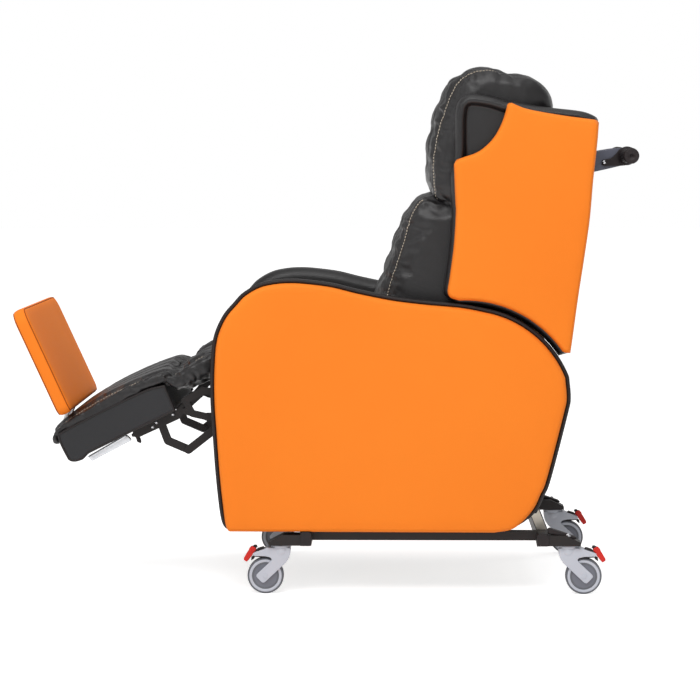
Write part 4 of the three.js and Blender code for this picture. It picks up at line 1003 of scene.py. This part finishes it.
casing_top_shares = [(0.004, -0.01), (0.12, 0.1), (0.24, 0.12), (0.43, 0.11), (0.63, 0.09), (0.83, 0.045), (0.985, 0)]
casing_nose_shares = [(1.0, -0.06), (1.008, -0.4), (1.004, -0.9), (0.995, -1.06), (0.95, -1.17), (0.89, -1.2)]
casing_foot_shares = [(0.83, -1.09), (0.62, -1.06), (0.47, -1.04), (0.25, -1.02), (0.01, -1.0)]
casing_line = closed(
    smooth(leg_places(casing_top_shares), 5 * mm), smooth(leg_places(casing_nose_shares), 4 * mm),
    smooth(leg_places(casing_foot_shares), 5 * mm), spacing=5 * mm)
casing_half = casing_high.x - 1 * mm
casing_edge = 3.5 * mm
casing_piece = made_piece(
    "legrest_box_cover", *slab(casing_line, 0, casing_half, casing_edge, 12 * mm), casing_cover, "legrest",
    "black_upholstery", ["legrest_casing"])
casing_cord_line = inset(casing_line, 1.4 * mm)
casing_cord = made_piece(
    "legrest_piping_left",
    *tube(np.column_stack([np.full(len(casing_cord_line), casing_half - 1.4 * mm), casing_cord_line]), 2.8 * mm, 8, loop=True),
    piping_cover, "legrest")
mirrored(casing_cord, "legrest_piping_right", "legrest")
print("legrest casing", [round(v / mm) for v in (casing_high - casing_low)])

# %% Legrest pad
pad_top_shares = [
    (-0.08, 0.36), (-0.02, 0.44), (0.08, 0.49), (0.22, 0.52), (0.4, 0.53), (0.56, 0.5), (0.69, 0.44), (0.83, 0.36),
    (0.95, 0.24), (1.04, 0.06), (1.07, -0.1), (1.075, -0.24),
]
pad_under_shares = [
    (-0.08, -0.12), (0.02, -0.04), (0.2, 0.04), (0.4, 0.04), (0.6, 0.02), (0.8, -0.03), (0.95, -0.06),
    (1.0, -0.14), (1.02, -0.24), (1.03, -0.34),
]
pad_lines = (smooth(leg_places(pad_top_shares), 6 * mm), smooth(leg_places(pad_under_shares), 6 * mm))
pad_half = casing_half - 1 * mm
pad_shape = {"corner": 8.0, "end_share": 0.95}
pad_seam = long_seam(pad_lines, pad_half, **pad_shape)
pad_channel_shares = (0.46, 0.0, -0.46)
pad_channels = [long_seam(pad_lines, pad_half, share, **pad_shape) for share in pad_channel_shares]
pad_seams = [(pad_seam, 1.0), (other_side(pad_seam), 1.0), *[(line, 0.8) for line in pad_channels]]
leg_pad = blown(
    "legrest_pad_cover", bag(pad_lines, pad_half, rows=44, **pad_shape), pad_seams,
    voxel=5 * mm, cap=6 * mm, pressure=2.5, crease=2.5 * mm, fold=0.5 * mm)
leg_pad.data.materials.append(black_cover)
settle(leg_pad, "legrest", ["legrest_pad"])
stitches("pad_thread_left", leg_pad, pad_seam[2:-3], "legrest")
stitches("pad_thread_right", leg_pad, other_side(pad_seam[2:-3]), "legrest")
for number, line in enumerate(pad_channels):
    stitches(f"pad_channel_thread_{number + 1}", leg_pad, line[2:-6], "legrest")
print("legrest pad done")

# %% Knee strip
knee_lines = (
    smooth(places((-226, 492), (-246, 490), (-266, 482), (-284, 470), (-298, 459), (-312, 450), (-326, 449),
                  (-342, 452), (-356, 448)), 5 * mm),
    smooth(places((-226, 440), (-246, 436), (-266, 427), (-282, 420), (-296, 417), (-308, 417), (-320, 421),
                  (-334, 428), (-346, 428)), 5 * mm))
knee_half = pad_half - 2 * mm
knee_shape = {"corner": 6.0, "end_share": 0.9}
knee_seam = long_seam(knee_lines, knee_half, **knee_shape)
knee_low_seam = bag_rings(knee_lines, knee_half, 60, np.array([math.radians(-45)]), **knee_shape)[:, 0]
knee_seams = [(line, 1.0) for seam in (knee_seam, knee_low_seam) for line in (seam, other_side(seam))]
knee_seams += [(cross_seam(knee_lines, knee_half, share, **knee_shape), 0.9) for share in (0.62,)]
knee_strip = blown(
    "knee_strip_cover", bag(knee_lines, knee_half, rows=30, **knee_shape), knee_seams,
    voxel=5 * mm, growth=0.12, cap=7 * mm, pressure=3.0, crease=2 * mm, fold=2.6 * mm, stiff=6)
knee_strip.data.materials.append(black_cover)
settle(knee_strip, None, ["knee_flap"])
knee_thread = stitches("knee_thread_left", knee_strip, knee_seam[8:-4], None)
knee_thread_right = stitches("knee_thread_right", knee_strip, other_side(knee_seam[8:-4]), None)
for piece in (knee_strip, knee_thread, knee_thread_right):
    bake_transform(piece)
print("knee strip done")

# %% [markdown]
# Under the legrest a bright rail on each side guides the footplate's arms, and a black clip stops it.
# The bent flat links that lift the legrest carry screws where they turn. These are small shop parts,
# so each is an outline or a turned profile.

# %% Legrest hardware
def fastener(place, axis, radius, height):
    """A dome-headed screw with a washer under it."""
    profile = [(0, 1.5 * radius), (0.2 * height, 1.5 * radius), (0.2 * height, radius), (0.7 * height, 0.9 * radius),
               (height, 0.5 * radius)]
    return lathe(profile, place, axis, 20)


rail_shares = [(0.862, -1.22), (0.49, -1.07), (0.465, -1.36), (0.85, -1.45)]
lip_shares = [(0.862, -1.25), (0.49, -1.09), (0.487, -1.14), (0.86, -1.29)]
clip_shares = [(0.41, -1.14), (0.448, -1.14), (0.452, -1.24), (0.425, -1.3), (0.43, -1.5), (0.405, -1.6), (0.396, -1.44)]
hanger_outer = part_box("legrest_hanger_left")[1].x
for side_name, side in sides.items():
    rail_middle, rail_half = 0.231 * side, 8 * mm
    rail_line_places = closed(straight(leg_places(rail_shares), 4 * mm), spacing=4 * mm)
    lip_line = closed(straight(leg_places(lip_shares), 3 * mm), spacing=3 * mm)
    parts = [slab(rail_line_places, rail_middle, rail_half, 1 * mm),
             slab(lip_line, rail_middle + side * 1.5 * mm, rail_half + 1 * mm, 0.8 * mm)]
    made_piece(f"footplate_rail_{side_name}", *several(parts), rail_steel, "legrest", "bright_steel")
    clip_line = closed(straight(leg_places(clip_shares), 3 * mm), spacing=3 * mm)
    made_piece(f"rail_clip_{side_name}", *slab(clip_line, rail_middle, rail_half + 1 * mm, 1.5 * mm), grip_rubber, "legrest")
    screw_shares = [(0.207, -1.12), (0.05, -1.1), (0.252, -1.21)]
    heads = [fastener((side * hanger_outer, *spot), (side, 0, 0), 2.4 * mm, 2.6 * mm) for spot in leg_places(screw_shares)]
    made_piece(f"hanger_screws_{side_name}", *several(heads), chrome_screw, "legrest")
print("legrest hardware done")

# %% [markdown]
# Footplate. A flat padded board with rounded upper corners, standing on a hinge tube at the legrest's
# end. Both faces are orange, and a narrow band runs round the edge between two stitched seams. Each
# seam is drawn as a thin dark orange cord, which is painted shade for its crease. Its outline is
# drawn on the board's own plane, across and up.

# %% Footplate
foot_low, foot_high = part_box("footplate")
fold = next(joint for joint in frame["joints"] if joint["name"] == "footplate_fold")
hinge = np.array((fold["pos_m"][1], fold["pos_m"][2]))
board_half = foot_high.x + 8 * mm
board_foot, board_head = -18 * mm, 219 * mm
band_half = 12 * mm
board_middle = -2 * mm
corner = 32 * mm
foot_corner = 18 * mm
board_line = closed(
    arc((board_half - foot_corner, board_foot + foot_corner), foot_corner, -90, 0, 4 * mm),
    arc((board_half - corner, board_head - corner), corner, 0, 90, 4 * mm),
    arc((-board_half + corner, board_head - corner), corner, 90, 180, 4 * mm),
    arc((-board_half + foot_corner, board_foot + foot_corner), foot_corner, 180, 270, 4 * mm), spacing=6 * mm)
seam_set, face_roll, face_rise = 4 * mm, 20 * mm, 4 * mm


def on_board(spots, height):
    place = hinge + (board_middle + height)[:, None] * leg_along + spots[:, 1][:, None] * leg_up
    return np.column_stack([spots[:, 0], place])


def board_face(away, spots):
    """A rounded band, then a padded face that rises from its seam."""
    return band_half * round_edge(away, seam_set) + face_rise * round_edge(away - seam_set, face_roll)


board_depths = [step * mm for step in (0.3, 1.1, 2.4, 4, 6, 9, 13, 18, 24)]
board = made_piece(
    "footplate_cover", *pillow(board_line, board_face, board_face, 5 * mm, 14 * mm, on_board, depths=board_depths),
    orange_cover, "footplate_board", "orange_upholstery", ["footplate"])
# The seam cords are painted shade: thin dark orange lines laid in the creases where band and face meet.
for label, height in {"inner": -1, "outer": 1}.items():
    ring = inset(board_line, seam_set)
    seam_path = on_board(ring, np.full(len(ring), height * (band_half + 0.2 * mm)))
    cord_run = tube(seam_path, 1.1 * mm, 6, loop=True, across=(0, *leg_along))
    made_piece(f"footplate_seam_shade_{label}", *cord_run, seam_shade, "footplate_board")
print("footplate", round(2 * board_half / mm), "x", round((board_head - board_foot) / mm), "mm")

# %% [markdown]
# The board is carried by flat steel arms. They slide under the legrest, a cross strap joins them in
# front of its end, and two risers near the middle hold the hinge tube. They are bent from flat bar,
# so each is the bar's side view with its edges eased.

# %% Footplate arms
bar_half, bar_thick = 12.5 * mm, 6 * mm
slide_place, riser_place = 150 * mm, 45 * mm
slide_length, strap_height, strap_foot = 150 * mm, 24 * mm, 20 * mm
hinge_out, hinge_up = 214 * mm, 49 * mm
arm_under, arm_reach = -leg_deep - 0.5 * mm, leg_length + 0.5 * mm


def bar_outline(*spots):
    return closed(straight([on_leg(out, up) for out, up in spots], 4 * mm), spacing=4 * mm)


slide = bar_outline(
    (leg_length - slide_length, arm_under), (arm_reach + bar_thick, arm_under),
    (arm_reach + bar_thick, arm_under - bar_thick), (leg_length - slide_length, arm_under - bar_thick))
strap = bar_outline(
    (arm_reach, arm_under), (arm_reach, arm_under + strap_height), (arm_reach + bar_thick, arm_under + strap_height),
    (arm_reach + bar_thick, arm_under - bar_thick), (arm_reach - strap_foot, arm_under - bar_thick),
    (arm_reach - strap_foot, arm_under))
riser = bar_outline(
    (arm_reach, arm_under), (arm_reach, 2 * bar_thick), (hinge_out - bar_thick, hinge_up - bar_thick / 2),
    (hinge_out, hinge_up + bar_thick), (hinge_out + bar_thick, hinge_up + bar_thick / 2),
    (arm_reach + bar_thick, 2.5 * bar_thick), (arm_reach + bar_thick, arm_under))
tube_half = 263 * mm
parts = [slab(slide, side * slide_place, bar_half, 1 * mm) for side in (1, -1)]
parts += [slab(riser, side * riser_place, bar_half, 1 * mm) for side in (1, -1)]
parts.append(slab(strap, 0, slide_place + bar_half, 1 * mm))
parts.append(lathe([(-tube_half, bar_thick), (tube_half, bar_thick)], (0, *on_leg(hinge_out, hinge_up)), (1, 0, 0), 24))
made_piece("footplate_slide", *several(parts), rail_steel, "footplate_carrier", "bright_steel", ["footplate_arms"])
print("footplate arms done")

# %% [markdown]
# Push handle. A steel bar behind the back, on two channel brackets, with a rubber grip at each end.
# A grip has a flange at its inner end and a closed, rounded outer end, so it is turned on a lathe.

# %% Push handle
grip_low, grip_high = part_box("handle_grip_left")
bar_place = ((grip_low.y + grip_high.y) / 2, (grip_low.z + grip_high.z) / 2)
grip_length = grip_high.x - grip_low.x
grip_profile_shares = [(0, 0.7), (0, 1.2), (0.045, 1.24), (0.06, 1.2), (0.065, 0.92)]
grip_profile_shares += [(0.1 + 0.085 * k + step, 0.9 + bulge) for k in range(9) for step, bulge in ((0, 0.05), (0.06, 0.05), (0.065, 0), (0.08, 0))]
grip_profile_shares += [(0.88, 0.9), (0.9, 1.0), (0.975, 1.03), (1.0, 0.96), (1.004, 0.8), (1.004, 0.2), (0.98, 0.19), (0.98, 0.02)]
grip_radius = (grip_high.y - grip_low.y) / 2
bracket_places = places((552, 905.5), (590, 912), (612, 915.5), (624, 916), (640, 912), (645, 899), (640, 888), (632, 882),
                        (590, 872), (554, 864))
clamp_places = places((576, 881), (577, 889), (583, 892), (596, 895), (606, 904), (614, 913.5), (625, 918), (636, 918),
                      (646, 912), (648, 899), (642, 886), (630, 880), (612, 878), (596, 878), (583, 877))
channel_skin, flange_reach = 3 * mm, 15 * mm
for side_name, side in sides.items():
    grip_line = [(along * grip_length, wide * grip_radius) for along, wide in grip_profile_shares]
    made_piece(f"grip_{side_name}", *lathe(grip_line, (side * grip_low.x, *bar_place), (side, 0, 0), 36), grip_rubber,
               "back", "grip_black", [f"handle_grip_{side_name}"])
    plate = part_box(f"handle_bracket_{side_name}")
    web = (plate[0].x + plate[1].x) / 2
    outline = closed(straight(bracket_places, 4 * mm), spacing=4 * mm)
    flange_middle = web - side * flange_reach / 2
    top_edge, foot_edge = bracket_places[:4], bracket_places[7:][::-1]
    parts = [slab(outline, web, channel_skin, 0.8 * mm)]
    for edge, down in ((top_edge, -channel_skin), (foot_edge, channel_skin)):
        strip = closed(edge, edge[::-1] + (0, down), spacing=3 * mm)
        parts.append(slab(strip, flange_middle, flange_reach / 2, 0.6 * mm))
    made_piece(f"handle_channel_{side_name}", *several(parts), handle_paint, "back", "handle_grey",
               [f"handle_bracket_{side_name}"])
    clamp_line = closed(smooth(clamp_places, 3 * mm), spacing=3 * mm)
    clamp_middle = web + side * 6.5 * mm
    made_piece(f"handle_clamp_{side_name}", *slab(clamp_line, clamp_middle, 3 * mm, 1.6 * mm), grip_rubber, "back")
    screw = fastener((clamp_middle + side * 3 * mm, *places((581, 886))[0]), (side, 0, 0), 2.6 * mm, 2.4 * mm)
    made_piece(f"handle_screw_{side_name}", *screw, chrome_screw, "back")
print("push handle at", [round(v / mm) for v in bar_place])

# %% [markdown]
# Castors. Each has a turned collar, a one-piece nylon fork that sweeps down past the axle, a wheel
# with a pale rim round a dark hub, and a red brake lever with a black tip. The wheel is turned. The
# fork and lever are drawn in side view and rounded at their edges, as mouldings are. The lever's tip
# ends below the beam, so that the castor can swing right round under it.

# %% Castor outlines
fork_outline = [
    (-19.6, 96.2), (-19.2, 84.8), (-16.5, 74.4), (-10.3, 65.1), (4.1, 51.6), (32.9, 24.6), (37.1, 23.0), (40.1, 24.6),
    (50.4, 35.4), (50.8, 39.1), (47.3, 43.3), (20.5, 68.2), (18.8, 71.3), (21.5, 75.4), (32.8, 78.1), (52.5, 78.4),
    (57.0, 79.2), (59.0, 82.3), (56.5, 85.2), (50.4, 87.7), (39.0, 91.4), (32.9, 93.5), (30.0, 95.4), (21.3, 96.1),
]
bridge_outline = [(-19.6, 96.2), (-19.2, 84.8), (-16.5, 76), (10, 76), (22, 79), (46, 80), (46, 87), (38, 91), (30, 95.4)]
slot_outline = [(33, 93.8), (52, 88.4), (52, 91), (33, 97.2)]
brake_outline = [(24, 73.4), (50, 76.0), (58, 76.4), (58, 79.0), (40, 79.6), (24, 77.5)]
pedal_outline = [
    (53.0, 95.4), (50.4, 91.6), (58.0, 81.0), (66.6, 69.6), (70.6, 65.6), (76.8, 68.9), (77.0, 73.2), (69.6, 85.4),
    (67.0, 89.0), (66.2, 93.0), (63.0, 95.6), (59.6, 98.6),
]
tip_outline = [(52.4, 94.0), (59.8, 97.2), (56.8, 99.4), (49.8, 99.4), (47.6, 96.2)]
shoe_outline = [(61.0, 76.5), (52.5, 77.6), (55.8, 71.5), (62.2, 67.5)]
collar_profile = [(74, 14), (80, 17.4), (84, 19.2), (93.0, 20.2), (93.8, 19.0), (94.8, 19.0), (95.6, 20.6), (99.6, 21.0),
                  (100.7, 20.2)]
tread_radius, rim_outer, rim_inner = 37.4 * mm, 33.4 * mm, 27.6 * mm
wheel_half = 11 * mm


def beside(swivel_y, out, outline, spacing=2.5 * mm):
    """A castor outline in millimetres from its swivel, placed on its castor."""
    spots = np.array([(swivel_y + out * reach * mm, height * mm) for reach, height in outline])
    return closed(straight(spots, spacing), spacing=spacing)


def wheel_profile(half, radii, bulges):
    """A turned profile that is the same on both sides of the wheel."""
    near = [(-half - bulge * mm, radius) for radius, bulge in zip(radii, bulges)]
    return [*near, *[(-along, radius) for along, radius in near[::-1]]]


# %% Castors
for end_name, out in ends.items():
    for side_name, side in sides.items():
        tag = f"{end_name}_{side_name}"
        swivel = next(j for j in frame["joints"] if j["name"] == f"castor_swivel_{tag}")["pos_m"]
        axle = next(j for j in frame["joints"] if j["name"] == f"wheel_spin_{tag}")["pos_m"]
        x, y = swivel[0], swivel[1]
        parts = [slab(beside(y, out, fork_outline), x + turn * 14.8 * mm, 2.5 * mm, 1.1 * mm, 5 * mm) for turn in (1, -1)]
        parts.append(slab(beside(y, out, bridge_outline), x, 14.6 * mm, 2 * mm, 6 * mm))
        parts.append(lathe([(height * mm, wide * mm) for height, wide in collar_profile], (x, y, 0), (0, 0, 1), 44))
        parts += [lathe([(0, 5 * mm), (0.8 * mm, 5 * mm), (1 * mm, 4.4 * mm)], (x + turn * 17.3 * mm, axle[1], axle[2]), (turn, 0, 0), 24) for turn in (1, -1)]
        made_piece(f"castor_fork_shell_{tag}", *several(parts), castor_nylon, f"castor_{tag}", "castor_grey", [f"castor_fork_{tag}"])
        made_piece(f"brake_slot_{tag}", *several([slab(beside(y, out, line), x, 12 * mm, 0.6 * mm, 5 * mm) for line in (slot_outline, brake_outline)]), grip_rubber, f"castor_{tag}")
        centre = (x, axle[1], axle[2])
        tread = wheel_profile(wheel_half, [rim_outer, 35 * mm, 36.6 * mm, tread_radius], [0.4, 0.2, -1.2, -3.6])
        made_piece(f"castor_tread_{tag}", *lathe(tread, centre, (1, 0, 0), 64), tyre_rubber, f"wheel_{tag}", "tyre_grey",
                   [f"castor_tyre_{tag}"])
        rim = wheel_profile(wheel_half, [rim_inner, rim_inner + 0.8 * mm, rim_outer - 0.8 * mm, rim_outer], [0.1, 1.0, 1.0, 0.4])
        made_piece(f"castor_rim_{tag}", *lathe(rim, centre, (1, 0, 0), 64), castor_nylon, f"wheel_{tag}", "hub_grey",
                   [f"castor_hub_{tag}"])
        disc = wheel_profile(wheel_half, [4 * mm, 22 * mm, rim_inner - 1.6 * mm, rim_inner], [1.0, 0.8, -0.2, -1.4])
        made_piece(f"castor_disc_{tag}", *lathe(disc, centre, (1, 0, 0), 64), hub_nylon, f"wheel_{tag}", "hub_grey")
        made_piece(f"brake_lever_{tag}", *slab(beside(y, out, pedal_outline), x, 10 * mm, 1.4 * mm, 4 * mm), pedal_nylon,
                   f"pedal_{tag}", "pedal_red", [f"brake_pedal_{tag}"])
        black_bits = [slab(beside(y, out, tip_outline), x, 8 * mm, 1 * mm, 4 * mm), slab(beside(y, out, shoe_outline), x, 7 * mm, 1 * mm, 4 * mm)]
        made_piece(f"brake_tip_{tag}", *several(black_bits), grip_rubber, f"pedal_{tag}")
print("castors done")

# %% [markdown]
# Chassis fittings. Black caps close the beams where the side rails meet them, and a stay with a
# bright bolt lies along each rear arm.

# %% Chassis fittings
beam_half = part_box("chassis_front_beam")[1].x
cap_middle, cap_half = beam_half - 27 * mm, 29 * mm
front_cap_places = places((-51.6, 100.4), (-28.6, 100.4), (-28.6, 130), (-51.6, 130))
rear_cap_places = places((433.6, 100.4), (458.9, 100.4), (458.9, 124.5), (433.6, 124.5))
stay_places = places((456, 137), (462, 136.5), (486, 129), (510, 120.8), (517, 117.6), (514, 114.6), (486, 121), (456, 126))
for side_name, side in sides.items():
    caps = [slab(closed(straight(spots, 4 * mm), spacing=4 * mm), side * cap_middle, cap_half, 2 * mm) for spots in (front_cap_places, rear_cap_places)]
    made_piece(f"beam_caps_{side_name}", *several(caps), grip_rubber, "chassis", "frame_black")
    stay_middle, stay_half = side * (beam_half - 17 * mm), 12 * mm
    stay = slab(closed(straight(stay_places, 3 * mm), spacing=3 * mm), stay_middle, stay_half, 2 * mm, 5 * mm)
    made_piece(f"rear_stay_{side_name}", *stay, grip_rubber, "chassis", "frame_black")
    bolt = fastener((stay_middle + side * stay_half, *places((498, 122.4))[0]), (side, 0, 0), 3 * mm, 3 * mm)
    made_piece(f"stay_bolt_{side_name}", *bolt, chrome_screw, "chassis")
print("chassis fittings done")
